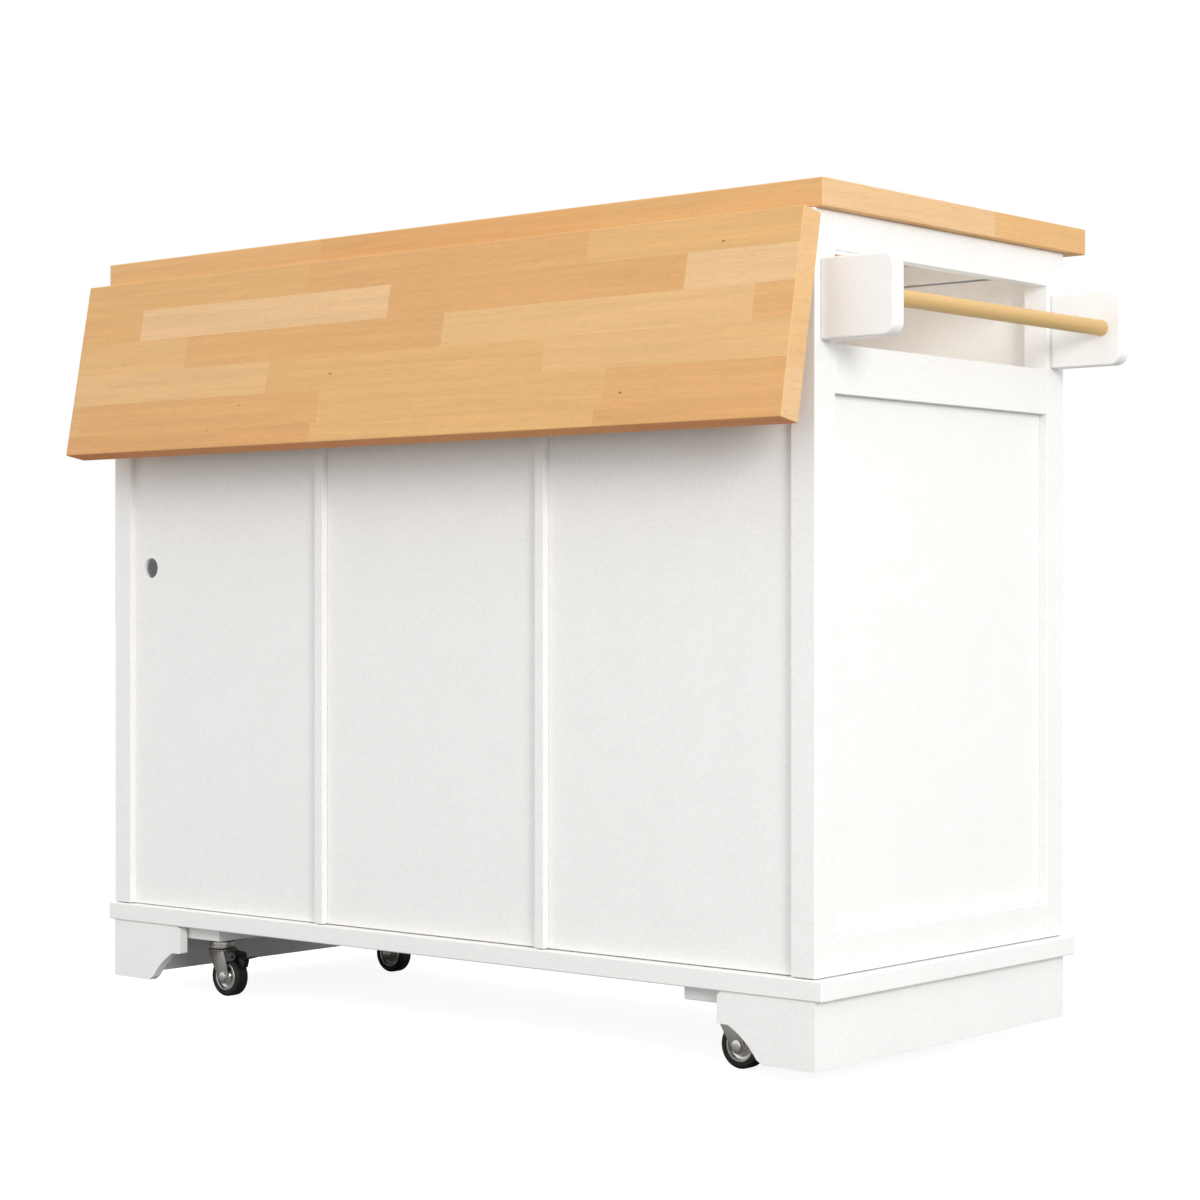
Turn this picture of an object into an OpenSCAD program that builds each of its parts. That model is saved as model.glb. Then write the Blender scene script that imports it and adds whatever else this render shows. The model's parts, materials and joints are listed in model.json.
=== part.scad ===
// Kitchen island cart: a white cabinet of three bays on four casters, with a butcher-block worktop,
// a drop leaf on folding supports along the back, and a towel rail with an open niche at one end.
// +Z is up and the floor is z = 0. The doors face -Y, the drop leaf faces +Y, the towel rail is at -X.

/* [Overall] */
// Height of the worktop's upper face above the floor
total_h = 930; // [850:5:1120]
// Width of the cabinet along X, without overhangs
body_w = 1108; // [920:2:1340]
// Depth of the cabinet along Y, without overhangs
body_d = 488; // [400:2:600]

/* [Worktop and leaf] */
// Thickness of the worktop and of the leaf
top_t = 30; // [22:1:40]
// Overhang of the worktop past each end of the cabinet
top_end_over = 10; // [0:1:30]
// Overhang of the worktop in front of the cabinet
top_front_over = 33; // [27:1:60]
// Width of the drop leaf, from its hinged edge to its free edge
leaf_w = 220; // [205:1:300]
// Angle between the hanging leaf and the vertical
leaf_tilt = 10.4; // [8:0.1:14]
// Gap between the raised leaf and the worktop
leaf_gap = 1.5; // [1:0.1:3]

/* [Cabinet] */
// Width of each corner post along X
post_w = 31; // [24:1:45]
// Depth of each corner post along Y
post_d = 36; // [28:1:50]
// Thickness of the two upright partitions
partition_t = 14; // [12:1:20]
// Thickness of the cabinet's floor board
floor_t = 15; // [12:1:20]
// Thickness of the shelves and of the niche floor
shelf_t = 15; // [12:1:20]
// Height of the shelves' upper faces above the cabinet floor
shelf_rise = 300; // [200:5:400]
// Depth of the back panels behind the back plane
back_recess = 8; // [5:1:12]
// Thickness of the back panels
back_panel_t = 5; // [3:1:8]
// Depth of the side panels behind the end plane
side_recess = 10; // [6:1:14]
// Thickness of the side panels
side_panel_t = 9; // [6:1:12]
// Height of the side frames' top rails
side_top_rail_h = 41; // [30:1:60]
// Height of the niche's opening
niche_h = 96; // [80:1:120]
// Height of the rail under the niche's opening
niche_rail_h = 51; // [30:1:70]
// Height of the side frames' bottom rails
side_bottom_rail_h = 40; // [30:1:60]
// Thickness of the side frames' rails
side_rail_t = 18; // [14:1:22]
// Height of the rail behind the leaf
back_rail_h = 200; // [180:1:230]
// Thickness of the rail behind the leaf
back_rail_t = 18; // [16:1:22]
// Diameter of the cable hole
cable_d = 25; // [20:1:40]
// Distance of the cable hole's centre from the cabinet's end
cable_in = 61.7; // [50:0.1:90]
// Height of the cable hole's centre above the cabinet's underside
cable_up = 427.5; // [350:0.5:450]

/* [Front] */
// Thickness of the doors, the drawer fronts and the front rails
front_t = 18; // [15:1:22]
// Gap around each door and each drawer front
front_gap = 2; // [2:0.1:3]
// Height of the front top rail
front_top_rail_h = 24; // [16:1:40]
// Height of the drawer openings
drawer_open_h = 136; // [125:1:180]
// Thickness of the rails between the drawers and the doors
mid_rail_t = 18; // [15:1:25]
// Depth of the rails between the drawers and the doors
mid_rail_d = 60; // [40:1:80]
// Width of the doors' stiles and rails
door_stile_w = 55; // [45:1:70]
// Thickness of the doors' panels
door_panel_t = 6; // [4:1:8]
// Depth of the doors' panels behind the doors' faces
door_panel_recess = 7; // [5:1:9]
// Diameter of the knobs
knob_d = 28; // [22:1:34]
// Distance that the knobs stand out
knob_out = 25; // [18:1:26]
// Depth of the drawer boxes
drawer_d = 400; // [300:5:420]
// Height of the drawer boxes
drawer_h = 95; // [70:1:110]
// Thickness of the drawer boxes' walls
drawer_wall = 12; // [9:1:15]
// Thickness of the drawer boxes' bottoms
drawer_bottom_t = 6; // [4:1:9]
// Space that a drawer runner takes on each side of its drawer
runner_w = 12.7; // [12.7:0.1:13.5]
// Height of the drawer runners
runner_h = 35; // [30:1:45]

/* [Towel rail] */
// Distance that the towel rail's arms stand out
arm_out = 90; // [80:1:120]
// Height of the arms
arm_h = 84; // [60:1:92]
// Thickness of the arms
arm_t = 20; // [16:1:25]
// Radius of the arms' outer corners
arm_r = 13; // [5:1:20]
// Distance of the arms from the front and back planes
arm_in = 9; // [5:1:12]
// Diameter of the dowel
dowel_d = 18; // [14:1:24]
// Distance of the dowel's axis from the cabinet's end
dowel_out = 66; // [55:1:70]
// Depth of the dowel's blind holes in the arms
dowel_seat = 11; // [8:1:14]

/* [Base] */
// Thickness of the base board
base_t = 23; // [18:1:30]
// Overhang of the base board past the ends and the front plane
base_over = 10; // [5:1:15]
// Overhang of the base board past the back plane
base_over_back = 2; // [1:0.5:15]
// Height of the plinth
plinth_h = 72; // [60:1:80]
// Thickness of the plinth and its feet
plinth_t = 12; // [10:1:15]
// Width of the feet
foot_w = 127; // [115:1:130]
// Height of the feet's shoulder, below which the cove is cut
foot_shoulder = 37.5; // [30:0.5:42]
// Radius of the cove in the feet
cove_r = 100; // [90:1:120]
// Thickness of the boards that carry the casters
caster_board_t = 16; // [12:1:20]
// Width of the boards that carry the casters
caster_board_w = 168; // [150:1:180]
// Distance of these boards inside the end, front and back planes
caster_board_in = 15; // [15:1:20]

/* [Casters] */
// Diameter of the wheels
wheel_d = 50; // [42:1:60]
// Width of the wheels
wheel_w = 18; // [16:1:20]
// Diameter of the wheels' hubs
hub_d = 36; // [28:1:38]
// Distance of each axle behind its swivel axis
trail = 14; // [10:0.5:15]
// Distance of the swivel axes from the cabinet's ends
caster_end = 146; // [140:1:160]
// Distance of the back swivel axes from the back plane
caster_back = 54; // [52:1:80]
// Distance of the front swivel axes from the front plane
caster_front = 142; // [70:1:160]
// Thickness of the casters' steel plates and forks
caster_steel = 2.5; // [2:0.1:3]
// Height of the swivel race
race_h = 12; // [8:1:14]
// Gap between the wheel and the fork's crown
crown_gap = 6; // [6:0.5:8]

/* [Leaf hardware] */
// Distance of the leaf's hinge axis inside the back plane
hinge_in = 2.5; // [2.5:0.1:3]
// Distance of the leaf's hinge axis below the worktop
hinge_drop = 4; // [4:0.1:5]
// Distance of the outer leaf hinges and the supports' wall pivots, X
leaf_hinge_x = 420; // [360:5:480]
// Distance of the leaf supports from the middle, X
support_x = 250; // [210:5:290]
// Distance of the struts' wall pivots below the worktop
strut_drop = 84; // [80:1:88]
// Distance of the folded struts' upper pins from the leaf's hinged edge
slot_far = 187; // [180:1:188]

/* [Hidden] */
$fn = 48;

WHITE = "#f1f0ed";
BEECH = "#deae76";
DOWEL = "#d9b469";
ZINC = "#5e5a58";
NICKEL = "#b9b7b2";
HUB = "#9b9892";
BLACK = "#141414";

// Casters: the height of each layer above the floor
axle_z = wheel_d / 2;
crown_z = wheel_d + crown_gap;
race_z = crown_z + caster_steel;
plate_z = race_z + race_h;
caster_h = plate_z + caster_steel;

// Heights of the cabinet's levels
base_z = caster_h + caster_board_t;
body_z = base_z + base_t;
foot_z = base_z - plinth_h;
body_top = total_h - top_t;
floor_z = body_z + floor_t;
niche_top = body_top - side_top_rail_h;
niche_z = niche_top - niche_h;
niche_rail_z = niche_z - niche_rail_h;
back_rail_z = body_top - back_rail_h;
drawer_top = body_top - front_top_rail_h;
drawer_z = drawer_top - drawer_open_h;
door_top = drawer_z - mid_rail_t;
shelf_z = floor_z + shelf_rise;
// Height of the towel rail's axis above the niche floor
dowel_rise = 44;
dowel_z = niche_z + dowel_rise;
// Heights of the drawer runners and the drawer boxes above the drawer openings' lower edges
runner_rise = 30;
drawer_box_rise = 12;
runner_z = [drawer_z + runner_rise, drawer_z + runner_rise + runner_h];
drawer_box_z = drawer_z + drawer_box_rise;

// Planes of the cabinet, about its own middle
end_x = body_w / 2;
back_y = body_d / 2;
front_y = -body_d / 2;
post_x = end_x - post_w;
post_y = back_y - post_d;
panel_y = back_y - back_recess - back_panel_t;
side_in_x = end_x - side_recess - side_panel_t;
front_in_y = front_y + front_t;
rail_y = back_y - back_rail_t;
bay_w = (2 * post_x - 2 * partition_t) / 3;
function bay_x(i) = -post_x + i * (bay_w + partition_t);

// Leaf, in the plane across its hinge: a runs along the leaf from the axis, b through it
axis_y = back_y - hinge_in;
axis_z = body_top - hinge_drop;
leaf_a = hinge_in + leaf_gap;
leaf_swing = 90 - leaf_tilt;
function hang_y(a, b) = axis_y + a * sin(leaf_tilt) + b * cos(leaf_tilt);
function hang_z(a, b) = axis_z - a * cos(leaf_tilt) + b * sin(leaf_tilt);

// Leaf hinges
knuckle_r = 3.6;
hinge_pin_r = 1.8;
hinge_len = 60;
hinge_plate_t = 1.8;
hinge_reach = 30;
// Clearance of a pin in its bore, and between the knuckles of a hinge
running = 0.05;
knuckle_gap = 0.3;
leaf_hinges_x = [-leaf_hinge_x, 0, leaf_hinge_x];

// Leaf supports: wall pivot, folded pin, strut length and angles from straight down
bracket_t = 2;
stop_gap = 0.3;
arm_flange_h = 14;
pin_off = 7;
pin_r = 3;
strut_w = 12;
strut_t = 3;
strut_x = 3.2;
ear_x = 6.6;
pivot_out = 8.5;
bracket_half_h = 26;
bracket_edge = 6;
ear_r = 7;
arm_flange_w = 18;
pivot_y = back_y + pivot_out;
pivot_z = body_top - strut_drop;
fold_y = hang_y(leaf_a + slot_far, hinge_drop - pin_off);
fold_z = hang_z(leaf_a + slot_far, hinge_drop - pin_off);
strut_l = norm([fold_y - pivot_y, pivot_z - fold_z]);
strut_fold = atan2(fold_y - pivot_y, pivot_z - fold_z);
open_rise = body_top - pin_off - pivot_z;
slot_near = pivot_y + sqrt(strut_l * strut_l - open_rise * open_rise) - axis_y - leaf_a;
// The arm's flange starts where its corner comes to rest against the wall bracket
flange_from = (hinge_in + bracket_t + stop_gap - (hinge_drop - arm_flange_h) * cos(leaf_tilt))
    / sin(leaf_tilt) - leaf_a;
flange_to = slot_far + pin_r + 6;

// The origin is on the floor under the middle of the whole cart
shift_x = (arm_out - max(top_end_over, base_over)) / 2;
far_y = hang_y(leaf_a + leaf_w, hinge_drop + top_t);
near_y = front_y - max(top_front_over, knob_out, base_over);
shift_y = -(far_y + near_y) / 2;

module seat() { translate([shift_x, shift_y, 0]) children(); }

// A block from [low, high] along each axis
module block(x, y, z) { translate([x[0], y[0], z[0]]) cube([x[1] - x[0], y[1] - y[0], z[1] - z[0]]); }

// A copy of the same thing at +X and at -X
module both_ends() { for (s = [0, 1]) mirror([s, 0, 0]) children(); }

// A copy of the same thing at +Y and at -Y
module both_sides() { for (s = [0, 1]) mirror([0, s, 0]) children(); }

// ---- Worktop ----

module worktop() seat() color(BEECH)
    block([-end_x - top_end_over, end_x + top_end_over], [front_y - top_front_over, back_y],
        [body_top, total_h]);

// ---- Cabinet ----

module corner_posts() seat() color(WHITE)
    both_ends() both_sides() block([post_x, end_x], [post_y, back_y], [body_z, body_top]);

// Rails between the posts, and the cleat that carries the outer drawer runner
module side_rails() seat() color(WHITE) {
    rail_x = [end_x - side_rail_t, end_x];
    span = [-post_y, post_y];
    both_ends() {
        block(rail_x, span, [niche_top, body_top]);
        block(rail_x, span, [body_z, body_z + side_bottom_rail_h]);
    }
    mirror([1, 0, 0]) block(rail_x, span, [niche_rail_z, niche_z]);
    block([post_x, side_in_x], span, runner_z);
}

// The niche end is closed up to its rail, the other end up to its top rail
module side_panels() seat() color(WHITE) {
    span = [-post_y, post_y];
    block([side_in_x, end_x - side_recess], span, [body_z + side_bottom_rail_h, niche_top]);
    mirror([1, 0, 0])
        block([side_in_x, end_x - side_recess], span, [body_z + side_bottom_rail_h, niche_rail_z]);
}

module back_panel(i)
    block([bay_x(i), bay_x(i) + bay_w], [panel_y, panel_y + back_panel_t], [body_z, back_rail_z]);

module back_panels() seat() color(WHITE) for (i = [0, 1]) back_panel(i);

module cable_back_panel() seat() color(WHITE) difference() {
    back_panel(2);
    translate([end_x - cable_in, panel_y - 1, body_z + cable_up])
        rotate([-90, 0, 0]) cylinder(d = cable_d, h = back_panel_t + 2);
}

// The rear edges show as narrow stiles between the back panels
module partitions() seat() color(WHITE) for (i = [1, 2])
    translate([bay_x(i) - partition_t, 0, 0]) rotate([90, 0, 90]) linear_extrude(partition_t)
        polygon([[front_y, floor_z], [panel_y, floor_z], [panel_y, body_z], [back_y, body_z],
            [back_y, back_rail_z], [rail_y, back_rail_z], [rail_y, body_top], [front_y, body_top]]);

module cabinet_floor() seat() color(WHITE) difference() {
    block([-side_in_x, side_in_x], [front_y, panel_y], [body_z, floor_z]);
    both_ends() both_sides()
        block([post_x, end_x], [post_y, back_y + 1], [body_z - 1, floor_z + 1]);
    both_ends() block([end_x - side_rail_t, end_x], [-back_y, back_y], [body_z - 1, floor_z + 1]);
}

module niche_floor() seat() color(WHITE)
    block([-post_x, -post_x + bay_w], [front_in_y, rail_y], [niche_z - shelf_t, niche_z]);

shelf_edge = 3;
shelf_side_gap = 0.5;

module shelves() seat() color(WHITE) for (i = [0 : 2])
    block([bay_x(i) + shelf_side_gap, bay_x(i) + bay_w - shelf_side_gap],
        [front_in_y + shelf_edge, panel_y - shelf_edge], [shelf_z - shelf_t, shelf_z]);

// Angle pieces under the shelves' corners, on the posts and the partitions
module shelf_brackets() seat() color(NICKEL) {
    leg = 12;
    steel = 1.5;
    off_post = 2;
    for (i = [0 : 2], x = [0, 1], y = [post_y + off_post, -post_y - leg - off_post])
        translate([bay_x(i) + x * bay_w, y, shelf_z - shelf_t]) mirror([x, 0, 0]) {
            block([0, steel], [0, leg], [-leg, 0]);
            block([0, leg], [0, leg], [-steel, 0]);
        }
}

notch_gap = 0.3;

// Rail behind the leaf, notched for the knuckles and let in for the hinges' fixed plates
module back_top_rail() seat() color(WHITE) difference() {
    block([-post_x, post_x], [rail_y, back_y], [back_rail_z, body_top]);
    for (x = leaf_hinges_x) translate([x, 0, 0]) {
        block([-hinge_len / 2 - notch_gap, hinge_len / 2 + notch_gap], [axis_y - knuckle_r - 0.5, back_y + 1],
            [axis_z - knuckle_r - 1, body_top + 1]);
        block([-hinge_len / 2, hinge_len / 2], [rail_y - 1, axis_y - knuckle_r],
            [body_top - hinge_plate_t, body_top + 1]);
    }
}

// A top rail over each bay, and a rail between each drawer opening and its door
module front_rails() seat() color(WHITE) for (i = [0 : 2]) {
    bay = [bay_x(i), bay_x(i) + bay_w];
    block(bay, [front_y, front_in_y], [drawer_top, body_top]);
    block(bay, [front_y, front_y + mid_rail_d], [door_top, drawer_z]);
}

// ---- Towel rail ----

arm_y = back_y - arm_in - arm_t;

module towel_arms() seat() color(WHITE) both_sides() difference() {
    translate([0, arm_y + arm_t, dowel_z]) rotate([90, 0, 0]) linear_extrude(arm_t) {
        translate([-end_x - arm_out + arm_r, -arm_h / 2]) square([arm_out - arm_r, arm_h]);
        translate([-end_x - arm_out, -arm_h / 2 + arm_r]) square([arm_r, arm_h - 2 * arm_r]);
        for (s = [-1, 1]) translate([-end_x - arm_out + arm_r, s * (arm_h / 2 - arm_r)]) circle(arm_r);
    }
    translate([-end_x - dowel_out, arm_y + dowel_seat, dowel_z])
        rotate([90, 0, 0]) cylinder(d = dowel_d + 0.1, h = dowel_seat + 1);
}

module towel_dowel() seat() color(DOWEL)
    translate([-end_x - dowel_out, arm_y + dowel_seat - 0.5, dowel_z])
        rotate([90, 0, 0]) cylinder(d = dowel_d, h = 2 * (arm_y + dowel_seat - 0.5));

// ---- Base ----

module base_board() seat() color(WHITE)
    block([-end_x - base_over, end_x + base_over], [front_y - base_over, back_y + base_over_back],
        [base_z, body_z]);

module end_plinths() seat() color(WHITE) both_ends()
    block([end_x - plinth_t, end_x], [front_y + plinth_t, back_y - plinth_t], [foot_z, base_z]);

// Points of an arc about c, from angle from to angle to
function arc(c, r, from, to, n = 8) =
    [for (k = [0 : n]) c + r * [cos(from + (to - from) * k / n), sin(from + (to - from) * k / n)]];

// The cove's centre is cove_drop below the foot's underside, and its top is cove_step inside the shoulder
cove_step = 14.5;
cove_drop = 51.8;
ease_r = 8;
toe_r = 5;
shoulder_r = 2;
cove_x = foot_w - cove_step + sqrt(cove_r * cove_r - pow(foot_shoulder + cove_drop, 2));
toe_x = cove_x - sqrt(cove_r * cove_r - cove_drop * cove_drop);

// Outline of a foot, from the cabinet's end inwards: a cove under a shoulder, with eased corners
module foot_outline() polygon(concat(
    [[0, 0], [toe_x - toe_r, 0]],
    arc([cove_x, -cove_drop], cove_r, 180 - asin((cove_drop + toe_r) / cove_r),
        180 - asin((cove_drop + foot_shoulder) / cove_r), 12),
    arc([foot_w - shoulder_r, foot_shoulder + shoulder_r], shoulder_r, 270, 360, 4),
    arc([foot_w - ease_r, plinth_h - ease_r], ease_r, 0, 90),
    [[0, plinth_h]]));

module ogee_feet() seat() color(WHITE) both_ends() both_sides()
    translate([end_x, back_y, foot_z]) mirror([1, 0, 0]) rotate([90, 0, 0])
        linear_extrude(plinth_t) foot_outline();

module caster_boards() seat() color(WHITE) both_ends()
    block([end_x - caster_board_in - caster_board_w, end_x - caster_board_in],
        [front_y + caster_board_in, back_y - caster_board_in], [caster_h, base_z]);

// ---- Knobs ----

knob_base_r = 9;
knob_neck_r = 5.5;
knob_rim_r = 3;

// A turned knob on the front plane, pointing to -Y
module knob(x, z) translate([x, front_y, z]) rotate([90, 0, 0]) rotate_extrude() polygon(concat(
    [[0, 0], [knob_base_r, 0], [knob_base_r, 1.5], [knob_neck_r, 4], [knob_neck_r, knob_out - 12]],
    arc([knob_d / 2 - knob_rim_r, knob_out - 7], knob_rim_r, -60, 60, 4),
    [[knob_d / 2 - 2 * knob_rim_r, knob_out], [0, knob_out]]));

// ---- False front over the niche bay ----

// A drawer's front board, or the false one that looks like it
module front_board(i) block([bay_x(i) + front_gap, bay_x(i) + bay_w - front_gap],
    [front_y, front_in_y], [drawer_z + front_gap, drawer_top - front_gap]);

knob_row_z = (drawer_z + drawer_top) / 2;

module false_front() seat() color(WHITE) front_board(0);

module false_front_knob() seat() color(NICKEL) knob(bay_x(0) + bay_w / 2, knob_row_z);

// ---- Drawers ----

// A channel along Y whose back lies on x = 0 and which opens to +X
module channel(w, h, length, steel) difference() {
    block([0, w], [0, length], [0, h]);
    block([steel, w + 1], [-1, length + 1], [steel, h - steel]);
}

runner_steel = 1.5;
runner_inner_w = 9;
runner_lap = 1;
runner_in = 2;
runner_clear = 3;

// Fixed members, on both walls of each drawer bay
module drawer_runners() seat() color(NICKEL) for (i = [1, 2], x = [0, 1])
    translate([bay_x(i) + x * bay_w, front_in_y + runner_in, runner_z[0]]) mirror([x, 0, 0])
        channel(runner_w - runner_clear, runner_h, drawer_d - runner_in, runner_steel);

module drawer_front(i) seat() color(WHITE) front_board(i);

module drawer_box(i) seat() color(BEECH) difference() {
    x = [bay_x(i) + runner_w, bay_x(i) + bay_w - runner_w];
    y = [front_in_y, front_in_y + drawer_d];
    block(x, y, [drawer_box_z, drawer_box_z + drawer_h]);
    block([x[0] + drawer_wall, x[1] - drawer_wall], [y[0] + drawer_wall, y[1] - drawer_wall],
        [drawer_box_z + drawer_bottom_t, drawer_box_z + drawer_h + 1]);
}

// The knob and the sliding members of the two runners
module drawer_hardware(i) seat() color(NICKEL) {
    knob(bay_x(i) + bay_w / 2, knob_row_z);
    inset = runner_steel + runner_lap;
    for (x = [0, 1]) translate([bay_x(i) + x * bay_w, 0, runner_z[0] + inset]) mirror([x, 0, 0])
        translate([runner_w, front_in_y + runner_in, 0]) mirror([1, 0, 0])
            channel(runner_inner_w, runner_h - 2 * inset, drawer_d - runner_in, runner_steel);
}

// ---- Doors ----

door_z = [floor_z + front_gap, door_top - front_gap];
function door_x(i) = [bay_x(i) + front_gap, bay_x(i) + bay_w - front_gap];
door_hinge_in = 70;
door_knob_drop = 90;
door_hinge_z = [door_z[0] + door_hinge_in, door_z[1] - door_hinge_in];
door_knuckle_r = 4;
door_pin_r = 2;
door_axis_y = front_y - door_knuckle_r - 0.5;
door_hinge_len = 60;
door_leaf_t = 0.8;

module door_frame(i) seat() color(WHITE) difference() {
    x = door_x(i);
    block(x, [front_y, front_in_y], door_z);
    block([x[0] + door_stile_w, x[1] - door_stile_w], [front_y - 1, front_in_y + 1],
        [door_z[0] + door_stile_w, door_z[1] - door_stile_w]);
}

module door_panel(i) seat() color(WHITE)
    block([door_x(i)[0] + door_stile_w, door_x(i)[1] - door_stile_w],
        [front_y + door_panel_recess, front_y + door_panel_recess + door_panel_t],
        [door_z[0] + door_stile_w, door_z[1] - door_stile_w]);

// Stretches of a hinge's length taken by the fixed knuckles and by the moving one
function fixed_spans(len) = [[-len / 2, -len / 6 - knuckle_gap], [len / 6 + knuckle_gap, len / 2]];
function moving_span(len) = [-len / 6, len / 6];

// Half of a butt hinge in a door's gap, about its own axis, with its plate on side s
module door_hinge_half(spans, bore_r, s) difference() {
    plate_x = s > 0 ? [front_gap / 2 - door_leaf_t, front_gap / 2]
        : [-front_gap / 2, door_leaf_t - front_gap / 2];
    union() {
        for (z = spans) {
            translate([0, 0, z[0]]) cylinder(r = door_knuckle_r, h = z[1] - z[0]);
            block(plate_x, [0, door_knuckle_r + 1], z);
        }
        block(plate_x, [door_knuckle_r + knuckle_gap, front_t],
            [-door_hinge_len / 2, door_hinge_len / 2]);
    }
    translate([0, 0, -door_hinge_len]) cylinder(r = bore_r, h = 2 * door_hinge_len);
}

// Places a hinge half at both of door i's hinges, hung on its -X side, or on +X if flipped
module at_door_hinges(i, flipped) for (z = door_hinge_z)
    translate([flipped ? bay_x(i) + bay_w - front_gap / 2 : bay_x(i) + front_gap / 2, door_axis_y, z])
        mirror([flipped ? 1 : 0, 0, 0]) children();

// Fixed halves with their pins, on the posts and the left partition
module door_hinge_plates() seat() color(NICKEL) for (i = [0 : 2]) at_door_hinges(i, i == 2) {
    door_hinge_half(fixed_spans(door_hinge_len), door_pin_r, -1);
    translate([0, 0, -door_hinge_len / 2]) cylinder(r = door_pin_r, h = door_hinge_len);
}

// The knob and the moving halves of the two hinges
module door_hardware(i) seat() color(NICKEL) {
    flipped = i == 2;
    at_door_hinges(i, flipped) door_hinge_half([moving_span(door_hinge_len)], door_pin_r + running, 1);
    knob(flipped ? door_x(i)[0] + door_stile_w / 2 : door_x(i)[1] - door_stile_w / 2,
        door_z[1] - door_knob_drop);
}

// ---- Drop leaf ----

// Turns what is drawn at the raised leaf down to where the leaf hangs
module hung() translate([0, axis_y, axis_z]) rotate([-leaf_swing, 0, 0]) translate([0, -axis_y, -axis_z])
    children();

leaf_y = axis_y + leaf_a;

module drop_leaf() seat() hung() color(BEECH)
    block([-end_x - top_end_over, end_x + top_end_over], [leaf_y, leaf_y + leaf_w], [body_top, total_h]);

module x_cylinder(r, x) translate([x[0], 0, 0]) rotate([0, 90, 0]) cylinder(r = r, h = x[1] - x[0]);

// Fixed halves with their pins: plates under the worktop, let into the back rail
module leaf_hinge_plates() seat() color(NICKEL) for (x = leaf_hinges_x) translate([x, 0, 0]) {
    difference() {
        union() {
            for (span = fixed_spans(hinge_len)) {
                translate([0, axis_y, axis_z]) x_cylinder(knuckle_r, span);
                block(span, [axis_y - knuckle_r - 1, axis_y], [body_top - hinge_plate_t, body_top - 0.2]);
            }
            block([-hinge_len / 2, hinge_len / 2], [rail_y, axis_y - knuckle_r - knuckle_gap],
                [body_top - hinge_plate_t, body_top]);
        }
        translate([0, axis_y, axis_z]) x_cylinder(hinge_pin_r, [-hinge_len, hinge_len]);
    }
    translate([0, axis_y, axis_z]) x_cylinder(hinge_pin_r, [-hinge_len / 2, hinge_len / 2]);
}

// Moving halves: plates on the leaf's underside
module leaf_hinge_straps() seat() hung() color(NICKEL) for (x = leaf_hinges_x) translate([x, 0, 0])
    difference() {
        union() {
            translate([0, axis_y, axis_z]) x_cylinder(knuckle_r, moving_span(hinge_len));
            block(moving_span(hinge_len), [axis_y, leaf_y + 1], [body_top - hinge_plate_t, body_top - 0.2]);
            block([-hinge_len / 2, hinge_len / 2], [leaf_y, leaf_y + hinge_reach],
                [body_top - hinge_plate_t, body_top]);
        }
        translate([0, axis_y, axis_z]) x_cylinder(hinge_pin_r + running, [-hinge_len, hinge_len]);
    }

// ---- Leaf supports ----

// Wall angles with the pivot pins that carry the struts
module leaf_support_brackets() seat() color(ZINC) for (x = [-support_x, support_x])
    translate([x, 0, 0]) {
        block([-bracket_edge, ear_x + bracket_t], [back_y, back_y + bracket_t],
            [pivot_z - bracket_half_h, pivot_z + bracket_half_h]);
        block([ear_x, ear_x + bracket_t], [back_y, pivot_y], [pivot_z - ear_r, pivot_z + ear_r]);
        translate([0, pivot_y, pivot_z]) {
            x_cylinder(ear_r, [ear_x, ear_x + bracket_t]);
            x_cylinder(pin_r, [bracket_t + 0.2, ear_x + bracket_t]);
            x_cylinder(pin_r + 2, [bracket_t + 0.2, strut_x - 0.15]);
        }
    }

// Angles on the leaf's underside, slotted for the struts' upper pins
module leaf_support_arms() seat() hung() color(ZINC) for (x = [-support_x, support_x])
    translate([x, leaf_y, body_top]) difference() {
        union() {
            block([0, bracket_t], [flange_from, flange_to], [-arm_flange_h, 0]);
            block([-arm_flange_w, bracket_t], [flange_from, flange_to], [-bracket_t, 0]);
        }
        slot_r = pin_r + 0.2;
        block([-1, bracket_t + 1], [slot_near, slot_far], [-pin_off - slot_r, -pin_off + slot_r]);
        for (y = [slot_near, slot_far])
            translate([0, y, -pin_off]) x_cylinder(slot_r, [-1, bracket_t + 1]);
    }

// A flat bar from the wall pivot to the slot, drawn folded
module leaf_strut(side) seat() color(ZINC)
    translate([side * support_x, pivot_y, pivot_z]) rotate([strut_fold, 0, 0]) {
        bar_x = [strut_x, strut_x + strut_t];
        difference() {
            union() {
                block(bar_x, [-strut_w / 2, strut_w / 2], [-strut_l, 0]);
                x_cylinder(strut_w / 2, bar_x);
                translate([0, 0, -strut_l]) x_cylinder(strut_w / 2, bar_x);
            }
            x_cylinder(pin_r + running, [0, ear_x]);
        }
        translate([0, 0, -strut_l]) x_cylinder(pin_r, [bracket_t + 0.4, strut_x]);
    }

// ---- Casters ----
// c gives a caster's end and side: [-1, 1] is the left one at the back

function caster_at(c) = [c[0] * (end_x - caster_end),
    c[1] > 0 ? back_y - caster_back : front_y + caster_front, 0];

plate_half = [25, 21];
race_r = 16;
leg_gap = 1.5;
leg_t = 2;
eye_r = 9;
lug_r = 4.5;
crown_half = 13;
leg_y = wheel_w / 2 + leg_gap;
crown_r = 18;
kingpin_r = 4;
axle_r = 3;
pedal_pivot = [-trail - 16, wheel_d + 1];
pedal_pin_r = 2;

module along_y(x, z, r, y) translate([x, y[1], z]) rotate([90, 0, 0]) cylinder(r = r, h = y[1] - y[0]);

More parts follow.
